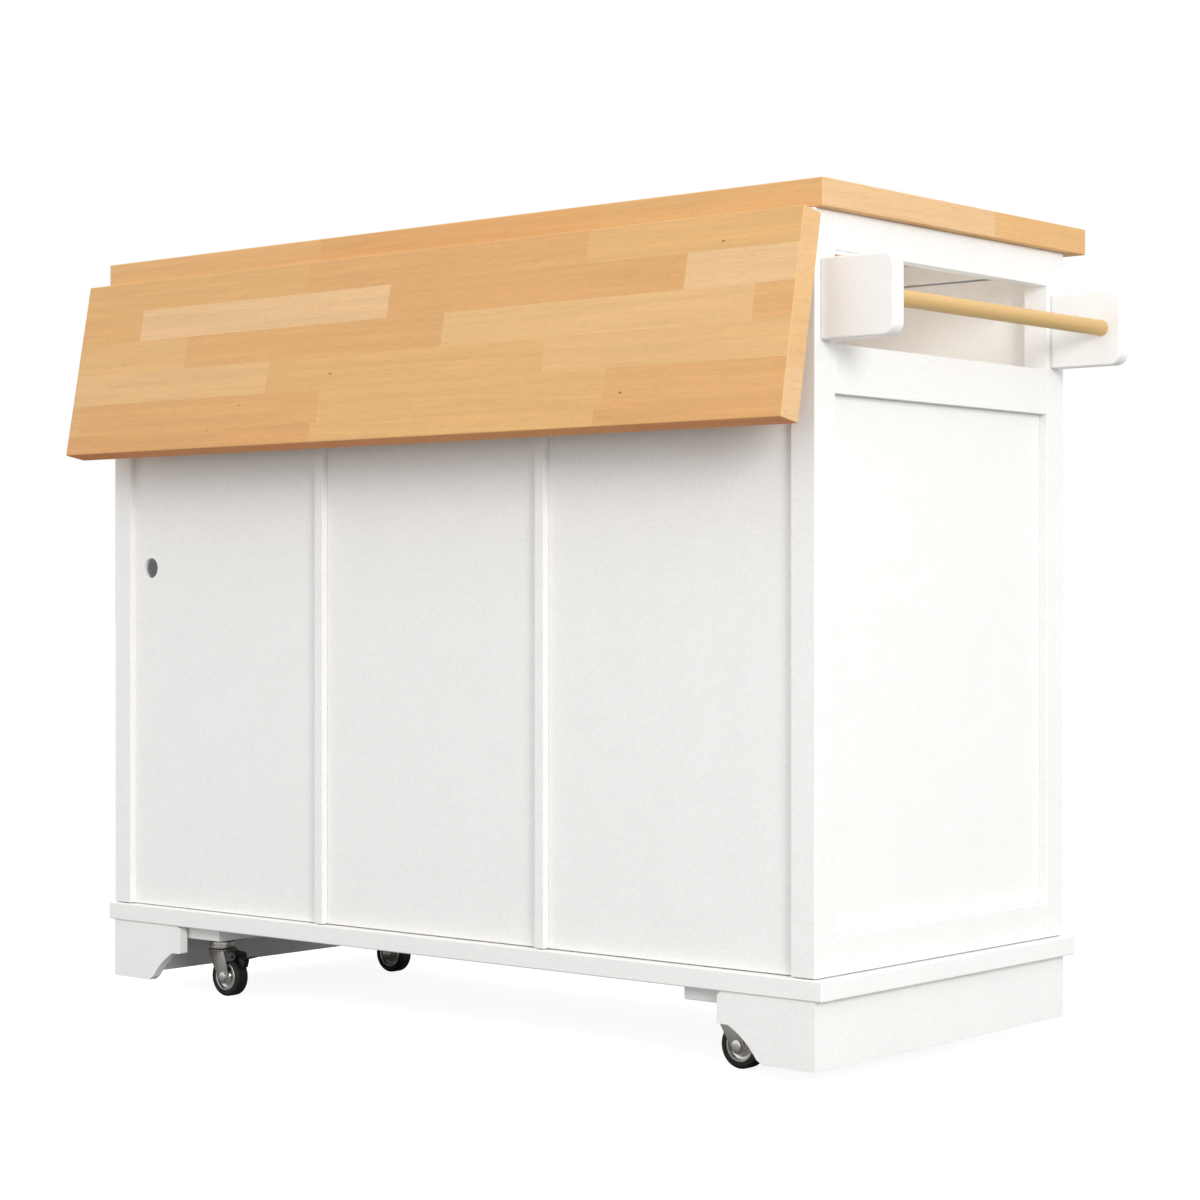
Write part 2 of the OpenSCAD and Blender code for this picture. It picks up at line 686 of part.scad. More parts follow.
module caster_plates() seat() color(ZINC) for (x = [-1, 1], y = [-1, 1]) translate(caster_at([x, y])) {
    block([-plate_half[0], plate_half[0]], [-plate_half[1], plate_half[1]], [plate_z, caster_h]);
    translate([0, 0, race_z + 0.3]) cylinder(r = race_r, h = race_h - 0.3);
    translate([0, 0, crown_z - 3]) cylinder(r = kingpin_r, h = race_h);
    translate([0, 0, crown_z - 3]) cylinder(r = kingpin_r + 3, h = 2.7);
}

// Side of a fork: from the crown down to the axle, with a lug for the brake's pivot
module fork_side(braked) difference() {
    union() {
        polygon([[-trail - eye_r, axle_z], [-trail - 4, crown_z - 8], [-crown_half, race_z],
            [crown_half, race_z], [-trail + eye_r, axle_z]]);
        translate([-trail, axle_z]) circle(eye_r);
        if (braked) {
            translate(pedal_pivot) circle(lug_r);
            polygon([[-trail - 2, crown_z - 14], pedal_pivot + [-3, -3.4], pedal_pivot + [0, lug_r],
                [-crown_half, race_z]]);
        }
    }
    translate([-trail, axle_z]) circle(axle_r);
    if (braked) translate(pedal_pivot) circle(pedal_pin_r + running);
}

// A pressed fork with its axle bolt
module caster_fork(c) seat() color(ZINC) translate(caster_at(c)) {
    difference() {
        union() {
            translate([0, 0, crown_z]) cylinder(r = crown_r, h = caster_steel);
            both_sides() translate([0, leg_y + leg_t, 0]) rotate([90, 0, 0]) linear_extrude(leg_t)
                fork_side(c[1] > 0);
        }
        translate([0, 0, crown_z - 1]) cylinder(r = kingpin_r + running, h = caster_steel + 2);
    }
    both_sides() along_y(-trail, axle_z, axle_r + 2.5, [leg_y + leg_t, leg_y + leg_t + 3]);
    along_y(-trail, axle_z, axle_r, [-leg_y - leg_t, leg_y + leg_t]);
}

module on_axle(c) seat() translate(caster_at(c))
    translate([-trail, 0, axle_z]) rotate([90, 0, 0]) children();

module caster_hub(c) on_axle(c) color(HUB) difference() {
    union() {
        cylinder(d = hub_d, h = wheel_w - 2, center = true);
        cylinder(r = axle_r + 3, h = wheel_w + 2 * leg_gap - 0.6, center = true);
    }
    cylinder(r = axle_r + running, h = wheel_w * 2, center = true);
}

tread_r = 3;

// A ring with eased tread corners
module caster_tyre(c) on_axle(c) color(BLACK) rotate_extrude() polygon(concat(
    [[hub_d / 2, -wheel_w / 2]],
    arc([wheel_d / 2 - tread_r, tread_r - wheel_w / 2], tread_r, -90, 0, 5),
    arc([wheel_d / 2 - tread_r, wheel_w / 2 - tread_r], tread_r, 0, 90, 5),
    [[hub_d / 2, wheel_w / 2]]));

// A brake pedal between the fork's sides, with its pin and a tab to press
module brake_pedal(c) seat() color(BLACK) translate(caster_at(c)) {
    tab_y = wheel_w / 2;
    translate([0, tab_y, 0]) rotate([90, 0, 0]) linear_extrude(2 * tab_y)
        translate(pedal_pivot) polygon([[5, -1.5], [5, 2.8], [-3, 3.2], [-11, -1.8], [-24.5, 0.5],
            [-24.5, -1.3], [-15, -4.5], [-11.2, -14], [-9.6, -11], [-6, -7], [-1, -3.5]]);
    along_y(pedal_pivot[0], pedal_pivot[1], pedal_pin_r, [-leg_y - leg_t, leg_y + leg_t]);
}

worktop();
corner_posts();
side_rails();
side_panels();
back_panels();
cable_back_panel();
partitions();
cabinet_floor();
base_board();
end_plinths();
ogee_feet();
caster_boards();
back_top_rail();
front_rails();
niche_floor();
shelves();
shelf_brackets();
towel_arms();
towel_dowel();
false_front();
false_front_knob();
leaf_hinge_plates();
leaf_support_brackets();
door_hinge_plates();
drawer_runners();
caster_plates();
drop_leaf();
leaf_hinge_straps();
leaf_support_arms();
leaf_strut(-1);  // leaf_strut_left
leaf_strut(1);  // leaf_strut_right
door_frame(0);  // door_left_frame
door_panel(0);  // door_left_panel
door_hardware(0);  // door_left_hardware
door_frame(1);  // door_middle_frame
door_panel(1);  // door_middle_panel
door_hardware(1);  // door_middle_hardware
door_frame(2);  // door_right_frame
door_panel(2);  // door_right_panel
door_hardware(2);  // door_right_hardware
drawer_front(1);  // drawer_middle_front
drawer_box(1);  // drawer_middle_box
drawer_hardware(1);  // drawer_middle_hardware
drawer_front(2);  // drawer_right_front
drawer_box(2);  // drawer_right_box
drawer_hardware(2);  // drawer_right_hardware
caster_fork([-1, -1]);  // fork_front_left
caster_hub([-1, -1]);  // hub_front_left
caster_tyre([-1, -1]);  // tyre_front_left
caster_fork([1, -1]);  // fork_front_right
caster_hub([1, -1]);  // hub_front_right
caster_tyre([1, -1]);  // tyre_front_right
caster_fork([-1, 1]);  // fork_back_left
caster_hub([-1, 1]);  // hub_back_left
caster_tyre([-1, 1]);  // tyre_back_left
brake_pedal([-1, 1]);  // brake_back_left
caster_fork([1, 1]);  // fork_back_right
caster_hub([1, 1]);  // hub_back_right
caster_tyre([1, 1]);  // tyre_back_right
brake_pedal([1, 1]);  // brake_back_right
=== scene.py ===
"""Kitchen island cart: the look of each piece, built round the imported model."""

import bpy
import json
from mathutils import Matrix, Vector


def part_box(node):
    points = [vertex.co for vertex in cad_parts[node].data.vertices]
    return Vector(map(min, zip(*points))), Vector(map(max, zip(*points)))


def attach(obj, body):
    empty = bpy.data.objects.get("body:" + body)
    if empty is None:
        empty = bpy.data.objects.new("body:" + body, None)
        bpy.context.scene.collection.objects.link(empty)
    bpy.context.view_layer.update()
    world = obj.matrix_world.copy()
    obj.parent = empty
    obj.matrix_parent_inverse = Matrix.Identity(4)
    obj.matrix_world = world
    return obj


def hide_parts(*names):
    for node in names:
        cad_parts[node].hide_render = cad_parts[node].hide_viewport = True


bl_info = {
    "name": "Kitchen Island Cart",
    "version": (1, 0, 0),
    "blender": (4, 5, 0),
    "location": "3D View > Sidebar > Island Cart",
    "description": "Builds a white kitchen island cart with a beech drop leaf, round its packed frame",
    "category": "Object",
}

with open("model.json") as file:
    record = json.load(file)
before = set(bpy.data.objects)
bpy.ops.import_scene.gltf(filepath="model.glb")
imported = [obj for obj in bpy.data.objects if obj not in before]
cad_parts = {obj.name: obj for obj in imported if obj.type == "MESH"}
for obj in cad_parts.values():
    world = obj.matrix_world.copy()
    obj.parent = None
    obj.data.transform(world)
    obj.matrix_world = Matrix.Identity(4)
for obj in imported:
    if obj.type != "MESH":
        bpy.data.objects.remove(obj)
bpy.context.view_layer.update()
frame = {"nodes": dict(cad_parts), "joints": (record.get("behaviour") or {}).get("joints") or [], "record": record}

import json
import math
import random
from contextlib import contextmanager

import bmesh
import bpy
from mathutils import Matrix, Vector

NODES = frame["nodes"]
JOINTS = {joint["name"]: joint for joint in frame["joints"]}
MM = 0.001
X, Y, Z = Vector((1, 0, 0)), Vector((0, 1, 0)), Vector((0, 0, 1))
CORNERS = ("front_left", "front_right", "back_left", "back_right")
BAYS = ("left", "middle", "right")
# Points closer than this, in metres, are one
WELD = 1e-6
# Every material by its short name
FINISHES = {}


# ---- Sizes and colours ----


def linear(hex_colour):
    """An sRGB hex colour as linear red, green, blue and alpha."""
    parts = [int(hex_colour[i : i + 2], 16) / 255 for i in (1, 3, 5)]
    return tuple(c / 12.92 if c <= 0.04045 else ((c + 0.055) / 1.055) ** 2.4 for c in parts) + (1,)


def colour(name, description, default):
    return bpy.props.FloatVectorProperty(name=name, description=description, subtype="COLOR", size=4,
                                         min=0, max=1, default=linear(default))


def length(name, description, millimetres):
    return bpy.props.FloatProperty(name=name, description=description, subtype="DISTANCE", unit="LENGTH",
                                   default=millimetres * MM)


class CartSizes(bpy.types.PropertyGroup):
    """Sizes that the frame doesn't hold."""

    stave_width: length("Stave width", "Width of the beech staves in the worktop and the leaf", 39.5)
    eased_edge: length("Eased edge", "Radius on the painted boards' edges", 1.2)
    wood_edge: length("Wood edge", "Radius on the worktop's and the leaf's edges", 1.6)
    screw_head: length("Screw head", "Diameter of the countersunk screws' heads", 7)
    finger: length("Finger", "Height of the fingers in the drawers' corner joints", 11.9)


class CartColours(bpy.types.PropertyGroup):
    """Base colours of the finishes."""

    paint: colour("Paint", "Sprayed satin paint on the cabinet", "#F5F4F2")
    beech_dark: colour("Dark staves", "Darkest staves of oiled beech", "#DAA267")
    beech_mid: colour("Middle staves", "Commonest staves of oiled beech", "#DEAE70")
    beech_light: colour("Light staves", "Lightest staves of oiled beech", "#E5BC8A")
    dowel: colour("Dowel", "Turned dowel of the towel rail", "#D4AF72")
    birch: colour("Birch", "Drawer boxes", "#E3CBA2")
    zinc: colour("Zinc", "Dark zinc plate on the leaf supports", "#6E6A68")
    fork: colour("Fork", "Zinc plate on the caster forks", "#B0ADAA")
    nickel: colour("Nickel", "Satin nickel on knobs and hinges", "#B9B5AE")
    steel: colour("Steel", "Bright zinc on the wheel hubs", "#DCD9D4")
    rubber: colour("Rubber", "Tyres", "#0F0F0F")
    nylon: colour("Nylon", "Brake pedals", "#121213")


# ---- Modelling helpers ----


def make_active(obj):
    bpy.ops.object.select_all(action="DESELECT")
    obj.select_set(True)
    bpy.context.view_layer.objects.active = obj


@contextmanager
def editing(obj, kind="FACE"):
    """Edit mode on one object, with nothing selected."""
    make_active(obj)
    bpy.ops.object.mode_set(mode="EDIT")
    bpy.ops.mesh.select_mode(type=kind)
    bpy.ops.mesh.select_all(action="DESELECT")
    yield
    bpy.ops.object.mode_set(mode="OBJECT")


def pick(obj, test, kind="faces"):
    """Selects the faces or edges that pass a test, and nothing else, and says how many."""
    bpy.ops.mesh.select_all(action="DESELECT")
    mesh = bmesh.from_edit_mesh(obj.data)
    chosen = [part for part in getattr(mesh, kind) if test(part)]
    for part in chosen:
        part.select_set(True)
    bmesh.update_edit_mesh(obj.data)
    return len(chosen)


def settle(obj, matrix=None):
    """Puts an object's place and turn into its mesh."""
    if matrix is not None:
        obj.matrix_world = matrix @ obj.matrix_world
    make_active(obj)
    bpy.ops.object.transform_apply(location=True, rotation=True, scale=True)
    return obj


def outward(obj):
    """Closes seams and poles, and turns every face outwards."""
    with editing(obj, "VERT"):
        bpy.ops.mesh.select_all(action="SELECT")
        bpy.ops.mesh.remove_doubles(threshold=WELD)
        bpy.ops.mesh.normals_make_consistent(inside=False)


def block(name, low, high):
    """A box between two corners."""
    low, high = Vector(low), Vector(high)
    bpy.ops.object.select_all(action="DESELECT")
    bpy.ops.mesh.primitive_cube_add(size=1, location=(low + high) / 2, scale=high - low)
    obj = bpy.context.object
    obj.name = obj.data.name = name
    return settle(obj)


def ease(obj, width, segments=2, angle=30):
    """Rounds every sharp edge."""
    mod = obj.modifiers.new("Eased edges", "BEVEL")
    mod.width, mod.segments = width, segments
    mod.limit_method, mod.angle_limit = "ANGLE", math.radians(angle)
    make_active(obj)
    bpy.ops.object.modifier_apply(modifier=mod.name)
    return obj


def run_of(edge):
    """An edge as a vector."""
    return edge.verts[0].co - edge.verts[1].co


def round_edges(obj, test, width, segments=6):
    """Rounds only the edges that pass a test."""
    with editing(obj, "EDGE"):
        if not pick(obj, test, "edges"):
            raise RuntimeError(f"{obj.name} has no edge to round")
        bpy.ops.mesh.bevel(offset=width, segments=segments, affect="EDGES")
    return obj


def chain(name, points):
    """A line of edges through the points, drawn by extruding one vertex."""
    points = [Vector(p) for p in points]
    bpy.ops.object.select_all(action="DESELECT")
    bpy.ops.mesh.primitive_plane_add(size=MM, location=points[0])
    obj = bpy.context.object
    obj.name = obj.data.name = name
    settle(obj)
    with editing(obj, "VERT"):
        bpy.ops.mesh.select_all(action="SELECT")
        bpy.ops.mesh.merge(type="CENTER")
        for before, after in zip(points, points[1:]):
            bpy.ops.mesh.extrude_region_move(TRANSFORM_OT_translate={"value": after - before})
    return obj


def prism(name, outline, depth):
    """An outline in the XY plane in millimetres, extruded along Z."""
    obj = chain(name, [(x * MM, y * MM, 0) for x, y in outline])
    with editing(obj, "VERT"):
        bpy.ops.mesh.select_all(action="SELECT")
        bpy.ops.mesh.edge_face_add()
        bpy.ops.mesh.extrude_region_move(TRANSFORM_OT_translate={"value": (0, 0, depth * MM)})
    outward(obj)
    return obj


def turned(name, profile, steps=48):
    """A profile of radius and height in millimetres, spun about the Z axis."""
    obj = chain(name, [(r * MM, 0, h * MM) for r, h in profile])
    with editing(obj, "VERT"):
        bpy.ops.mesh.select_all(action="SELECT")
        bpy.ops.mesh.spin(steps=steps, angle=math.tau, center=(0, 0, 0), axis=(0, 0, 1))
    outward(obj)
    return smooth(obj)


def smooth(obj, angle=35):
    make_active(obj)
    bpy.ops.object.shade_smooth_by_angle(angle=math.radians(angle))
    return obj


def crisp(obj, angle=60):
    """Smooth rounded edges between faces that still shade as flat."""
    smooth(obj, angle)
    mod = obj.modifiers.new("Flat faces", "WEIGHTED_NORMAL")
    mod.weight, mod.keep_sharp = 100, True
    make_active(obj)
    bpy.ops.object.modifier_apply(modifier=mod.name)
    return obj


def twin(obj, name, matrix=None):
    """A copy with its own mesh."""
    make_active(obj)
    bpy.ops.object.duplicate(linked=False)
    made = bpy.context.object
    made.name = made.data.name = name
    return settle(made, matrix) if matrix is not None else made


def join(name, parts):
    bpy.ops.object.select_all(action="DESELECT")
    for part in parts:
        part.select_set(True)
    bpy.context.view_layer.objects.active = parts[0]
    if len(parts) > 1:
        bpy.ops.object.join()
    obj = bpy.context.object
    obj.name = obj.data.name = name
    return obj


def cut(obj, cutter):
    """Takes the cutter out of the object, and removes the cutter."""
    mod = obj.modifiers.new("Cut", "BOOLEAN")
    mod.operation, mod.solver, mod.object = "DIFFERENCE", "EXACT", cutter
    make_active(obj)
    bpy.ops.object.modifier_apply(modifier=mod.name)
    bpy.data.objects.remove(cutter)
    return obj


def coat(obj, finish_name):
    """Gives an object one finish all over."""
    obj.data.materials.clear()
    obj.data.materials.append(FINISHES[finish_name])
    return obj


def coat_node(name, finish_name, width, segments, angle):
    """Gives one of the frame's own nodes a finish and eased edges."""
    node = coat(NODES[name], finish_name)
    node.modifiers.new("Weld", "WELD").merge_threshold = WELD
    bevel = node.modifiers.new("Eased edges", "BEVEL")
    bevel.width, bevel.segments = width, segments
    bevel.limit_method, bevel.angle_limit = "ANGLE", math.radians(angle)


def finish(obj, body, slot, finish_name, *replaced):
    """Gives a piece its finish, its body and the nodes that it stands for; its slot is not used. A piece that has
    several finishes already is given None."""
    if finish_name:
        coat(obj, finish_name)
    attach(obj, body)
    if replaced:
        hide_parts(*replaced)
    return obj


def box_of(node):
    low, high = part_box(node)
    return low.copy(), high.copy()


def middle(node):
    low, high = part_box(node)
    return (low + high) / 2


def at(*place):
    return Matrix.Translation(Vector(place))


def turn(degrees, axis):
    return Matrix.Rotation(math.radians(degrees), 4, axis)


def arc(centre, radius, start, end, count):
    """Points of an arc in millimetres and degrees."""
    angles = [math.radians(start + (end - start) * i / count) for i in range(count + 1)]
    return [(centre[0] + radius * math.cos(a), centre[1] + radius * math.sin(a)) for a in angles]


# ---- Materials ----

# A Mix node's sockets for colours
MIX_A, MIX_B, MIX_RESULT = 6, 7, 2


def add(tree, kind, inputs=None, stops=None, **settings):
    """Adds a node, with its settings, its colour stops, and its inputs as values or as sockets to link."""
    made = tree.nodes.new(kind)
    for key, value in settings.items():
        setattr(made, key, value)
    if stops:
        while len(made.color_ramp.elements) < len(stops):
            made.color_ramp.elements.new(0.5)
        for element, (place, shade) in zip(made.color_ramp.elements, stops):
            element.position, element.color = place, shade
    for key, value in (inputs or {}).items():
        if isinstance(value, bpy.types.NodeSocket):
            tree.links.new(value, made.inputs[key])
        else:
            made.inputs[key].default_value = value
    return made


def per(millimetres):
    """The texture scale at which one cell is that size."""
    return 1 / (millimetres * MM)


def start(name, **sockets):
    """A material with its shader's values, its node tree, its shader and its Object coordinates."""
    made = bpy.data.materials.new(name)
    made.use_nodes = True
    tree = made.node_tree
    shader = tree.nodes["Principled BSDF"]
    for key, value in sockets.items():
        shader.inputs[key].default_value = value
    return made, tree, shader, add(tree, "ShaderNodeTexCoord").outputs["Object"]


def grey(value):
    return (value, value, value, 1)


def shade(tree, base, factor, low, high):
    """Multiplies a colour by a factor that runs from low to high."""
    tone = add(tree, "ShaderNodeMapRange", {"Value": factor, "To Min": low, "To Max": high})
    return add(tree, "ShaderNodeMix", {0: 1.0, MIX_A: base, MIX_B: tone.outputs[0]},
               data_type="RGBA", blend_type="MULTIPLY").outputs[MIX_RESULT]


def surface(tree, shader, tone, relief, strength, depth, worn=None, rough=(0, 1)):
    """Links a material's colour, its fine relief with a depth in millimetres, and, where a pattern of wear
    is given, a roughness that follows it."""
    tree.links.new(tone, shader.inputs["Base Color"])
    if worn is not None:
        varied = add(tree, "ShaderNodeMapRange", {"Value": worn, "To Min": rough[0], "To Max": rough[1]})
        tree.links.new(varied.outputs[0], shader.inputs["Roughness"])
    bump = add(tree, "ShaderNodeBump", {"Height": relief, "Strength": strength, "Distance": depth * MM})
    tree.links.new(bump.outputs["Normal"], shader.inputs["Normal"])


def sprayed_paint(name, base):
    """Satin nitro paint sprayed on MDF and filled boards: an even warm white with a fine orange peel, a
    faint cloudiness from the overlapping passes, and tiny specks of dry overspray."""
    made, tree, shader, place = start(name)
    clouds = add(tree, "ShaderNodeTexNoise", {"Vector": place, "Scale": per(55), "Detail": 3}).outputs["Fac"]
    # Overspray is under half a millimetre; it is drawn at 2.6 mm so that it shows
    specks = add(tree, "ShaderNodeTexNoise", {"Vector": place, "Scale": per(2.6), "Detail": 2,
                                              "Roughness": 0.7}).outputs["Fac"]
    tone = shade(tree, shade(tree, base, clouds, 0.972, 1.018), specks, 0.9, 1.09)
    peel = add(tree, "ShaderNodeTexNoise", {"Vector": place, "Scale": per(4), "Detail": 2}).outputs["Fac"]
    surface(tree, shader, tone, peel, 0.35, 0.12, clouds, (0.40, 0.52))
    return made


def staved_beech(name, dark, mid, light, along="X"):
    """Oiled beech, edge-glued from staves: each stave has its own tone, kept on its faces, with soft long streaks,
    short ray flecks and a few pin knots, and a low satin oil film. Faces marked in the stave attribute's third
    value get painted shade, deeper and redder."""
    made, tree, shader, place = start(name)
    stave = add(tree, "ShaderNodeAttribute", attribute_name="stave", attribute_type="GEOMETRY")
    parts = add(tree, "ShaderNodeSeparateXYZ", {0: stave.outputs["Vector"]})
    # Each stave's grain is moved by its own amount, so that it breaks at the joints
    shift = add(tree, "ShaderNodeVectorMath", {0: parts.outputs["Y"], 1: (7.3, 3.1, 5.3)},
                operation="MULTIPLY")
    moved = add(tree, "ShaderNodeVectorMath", {0: place, 1: shift.outputs[0]}, operation="ADD")
    turned_to = math.radians(90 if along == "Y" else 0)
    board = add(tree, "ShaderNodeMapping", {"Vector": moved.outputs[0], "Rotation": (0, 0, turned_to)})
    long_way = lambda run, across: add(tree, "ShaderNodeMapping", {
        "Vector": board.outputs[0], "Scale": (per(run), per(across), per(across))}).outputs[0]
    # Growth rings cut nearly flat give streaks 4 to 9 mm wide and some 300 mm long
    streaks = add(tree, "ShaderNodeTexNoise", {"Vector": long_way(260, 9), "Scale": 1.0, "Detail": 3,
                                               "Roughness": 0.6, "Distortion": 0.4}).outputs["Fac"]
    fine = add(tree, "ShaderNodeTexNoise", {"Vector": long_way(26, 1.3), "Scale": 1.0, "Detail": 2,
                                            "Roughness": 0.7}).outputs["Fac"]
    # Ray flecks are 2 mm by a quarter; drawn at 9 by 1.1 mm so that they show
    flecks = add(tree, "ShaderNodeTexNoise", {"Vector": long_way(9, 1.1), "Scale": 1.0, "Detail": 1})
    fleck = add(tree, "ShaderNodeMapRange", {"Value": flecks.outputs["Fac"], "From Min": 0.6,
                                             "From Max": 0.7})
    dry = add(tree, "ShaderNodeValToRGB", {"Fac": parts.outputs["X"]},
              stops=[(0, dark), (0.5, mid), (1, light)]).outputs["Color"]
    # Painted shade: marked faces, such as the leaf's free edge that faces the floor as the leaf hangs, are made
    # deeper and redder; dry is the stave's own tone and oiled is that tone with the painted shade
    oiled = add(tree, "ShaderNodeMix", {0: 1.0, MIX_A: dry, MIX_B: (0.98, 0.66, 0.36, 1)},
                data_type="RGBA", blend_type="MULTIPLY").outputs[MIX_RESULT]
    tone = add(tree, "ShaderNodeMix", {0: parts.outputs["Z"], MIX_A: dry, MIX_B: oiled},
               data_type="RGBA").outputs[MIX_RESULT]
    tone = shade(tree, shade(tree, tone, streaks, 0.84, 1.15), fine, 0.88, 1.12)
    tone = shade(tree, tone, fleck.outputs[0], 1.0, 0.91)
    # Pin knots some 5 mm long, one to a few hundred square centimetres
    knots = add(tree, "ShaderNodeTexVoronoi", {"Vector": long_way(80, 40), "Scale": 1.0, "Randomness": 1.0})
    knot = add(tree, "ShaderNodeMapRange", {"Value": knots.outputs["Distance"], "From Min": 0.018,
                                            "From Max": 0.042, "To Min": 0.8, "To Max": 0.0})
    tone = add(tree, "ShaderNodeMix", {0: knot.outputs[0], MIX_A: tone, MIX_B: linear("#6A3F22")},
               data_type="RGBA").outputs[MIX_RESULT]
    surface(tree, shader, tone, fine, 0.3, 0.06, fine, (0.52, 0.68))
    return made


def plain_wood(name, base, along, contrast):
    """Sanded and clear-lacquered hardwood in one piece, such as a turned dowel or a drawer side: straight
    grain along the piece, with pores that catch the light."""
    made, tree, shader, place = start(name, Roughness=0.5)
    # Pores in rows 1.4 mm apart, with grain lines some 120 mm long
    run, across = per(120), per(1.4)
    scale = {"X": (run, across, across), "Y": (across, run, across)}[along]
    board = add(tree, "ShaderNodeMapping", {"Vector": place, "Scale": scale}).outputs[0]
    fine = add(tree, "ShaderNodeTexNoise", {"Vector": board, "Scale": 1.0, "Detail": 3,
                                            "Roughness": 0.65}).outputs["Fac"]
    broad = add(tree, "ShaderNodeTexNoise", {"Vector": board, "Scale": 0.18, "Detail": 2}).outputs["Fac"]
    tone = shade(tree, base, fine, 1 - contrast, 1 + contrast)
    tone = shade(tree, tone, broad, 1 - contrast, 1 + contrast)
    surface(tree, shader, tone, fine, 0.3, 0.06)
    return made


def plated_metal(name, base, rough, grain, spread=0.12, stretch=(1, 1, 1)):
    """Plated steel: the plating is slightly cloudy, with fine rubbing marks that vary how sharply it
    shines. The grain is the marks' size in millimetres."""
    made, tree, shader, place = start(name, Metallic=1.0)
    board = add(tree, "ShaderNodeMapping", {"Vector": place, "Scale": [per(grain) * s for s in stretch]})
    fine = add(tree, "ShaderNodeTexNoise", {"Vector": board.outputs[0], "Scale": 1.0, "Detail": 4,
                                            "Roughness": 0.6}).outputs["Fac"]
    clouds = add(tree, "ShaderNodeTexNoise", {"Vector": place, "Scale": per(14), "Detail": 2}).outputs["Fac"]
    tone = shade(tree, base, clouds, 0.84, 1.12)
    surface(tree, shader, tone, fine, 0.2, 0.03, fine, (rough - spread, rough + spread))
    return made


def moulded(name, base, rough, grain, dust):
    """Moulded rubber or nylon: a fine spark-eroded grain from the mould, its size in millimetres, and a
    little dust in it."""
    made, tree, shader, place = start(name)
    fine = add(tree, "ShaderNodeTexNoise", {"Vector": place, "Scale": per(grain), "Detail": 2}).outputs["Fac"]
    clouds = add(tree, "ShaderNodeTexNoise", {"Vector": place, "Scale": per(9), "Detail": 3}).outputs["Fac"]
    tone = shade(tree, base, clouds, 1 - dust, 1 + 2 * dust)
    surface(tree, shader, tone, fine, 0.4, 0.05, clouds, (rough - 0.1, rough + 0.1))
    return made


class CART_OT_finishes(bpy.types.Operator):
    """Makes every material"""

    bl_idname = "cart.finishes"
    bl_label = "Finishes"

    def execute(self, context):
        colours = context.scene.cart_colours
        base = {name: tuple(getattr(colours, name)) for name in CartColours.__annotations__}
        beech = (base["beech_dark"], base["beech_mid"], base["beech_light"])
        FINISHES.update({
            "paint": sprayed_paint("sprayed_satin_paint", base["paint"]),
            "beech": staved_beech("oiled_beech_staves", *beech),
            "beech_end": staved_beech("oiled_beech_end_strips", *beech, along="Y"),
            "dowel": plain_wood("lacquered_dowel", base["dowel"], "Y", 0.07),
            "birch_x": plain_wood("lacquered_birch_ends", base["birch"], "X", 0.05),
            "birch_y": plain_wood("lacquered_birch_sides", base["birch"], "Y", 0.05),
            "zinc": plated_metal("dark_zinc_plated_steel", base["zinc"], 0.5, 3),
            "nickel": plated_metal("satin_nickel_plate", base["nickel"], 0.3, 1.6, 0.06, (1, 6, 6)),
            "fork": plated_metal("zinc_plated_pressed_steel", base["fork"], 0.4, 2.6, 0.08),
            "steel": plated_metal("bright_zinc_plated_steel", base["steel"], 0.3, 2.2),
            "rubber": moulded("moulded_tyre_rubber", base["rubber"], 0.62, 0.9, 0.25),
            "nylon": moulded("moulded_black_nylon", base["nylon"], 0.42, 0.7, 0.15),
        })
        return {"FINISHED"}


# ---- Painted boards ----

PAINTED = ("corner_posts", "side_rails", "side_panels", "back_panels", "partitions",
           "cabinet_floor", "end_plinths", "ogee_feet", "caster_boards", "back_top_rail",
           "front_rails", "niche_floor", "shelves")
# The cabinet stands a hair above the base board, which leaves a thin shadow line all round
SHADOW_GAP = 1 * MM
BASE_EDGE = 1.8 * MM
# Radius of the cable hole, in millimetres, and how far the paint softens its rim
CABLE_R = 12.5
CABLE_RIM = 0.8 * MM


class CART_OT_boards(bpy.types.Operator):
    """Paints the cabinet's boards and eases their edges"""

    bl_idname = "cart.boards"
    bl_label = "Painted boards"

    def execute(self, context):
        for name in PAINTED:
            coat_node(name, "paint", context.scene.cart_sizes.eased_edge, 2, 40)
        low, high = box_of("base_board")
        base = ease(block("base_board_rounded", low, high - Z * SHADOW_GAP), BASE_EDGE, 3)
        finish(crisp(base), "cart", "white_paint", "paint", "base_board")
        low, high = box_of("cable_back_panel")
        hole = next(mount for mount in frame["record"]["mounts"] if mount["name"] == "cable_hole")
        centre = Vector(hole["pos_m"])
        panel = block("cable_panel_drilled", low, high)
        drill = turned("drill", [(0, -10), (CABLE_R, -10), (CABLE_R, 10), (0, 10)], 64)
        cut(panel, settle(drill, at(*centre) @ turn(90, "X")))
        near_hole = lambda vertex: (vertex.co - centre).xz.length < (CABLE_R + 0.5) * MM
        rim = lambda edge: all(near_hole(v) for v in edge.verts) and abs(run_of(edge).y) < 0.1 * MM
        round_edges(panel, rim, CABLE_RIM, 3)
        finish(crisp(panel), "cart", "white_paint", "paint", "cable_back_panel")
        return {"FINISHED"}


# ---- Staved boards ----

# Joints in each row of the leaf, in millimetres from its right end, and the tone of each stave
LEAF_ROWS = (
    ((406, 843), (0.42, 0.2, 0.5)),
    ((114, 548, 983), (0.3, 0.95, 0.16, 0.95)),
    ((205, 640, 1077), (0.6, 0.25, 0.72, 0.3)),
    ((359, 797), (0.72, 0.5, 0.66)),
    ((20, 453, 890), (0.5, 0.2, 0.5, 0.22)),
    ((444, 879), (0.02, 0.48, 0.1)),
)
# Distances of the joints between rows from the leaf's hinged edge
LEAF_ROW_ENDS = (38.5, 78, 117.5, 157, 196.5)
# Range of a stave's length, and the shortest piece left at a board's end, in millimetres
STAVE_RUN = (300, 470)
STAVE_END = 60
# A face whose normal has less height than this is on an edge of its board
EDGE_TILT = 0.3
# More than a row's staves, so that no two staves of a board share a grain seed
SEED_STEP = 37


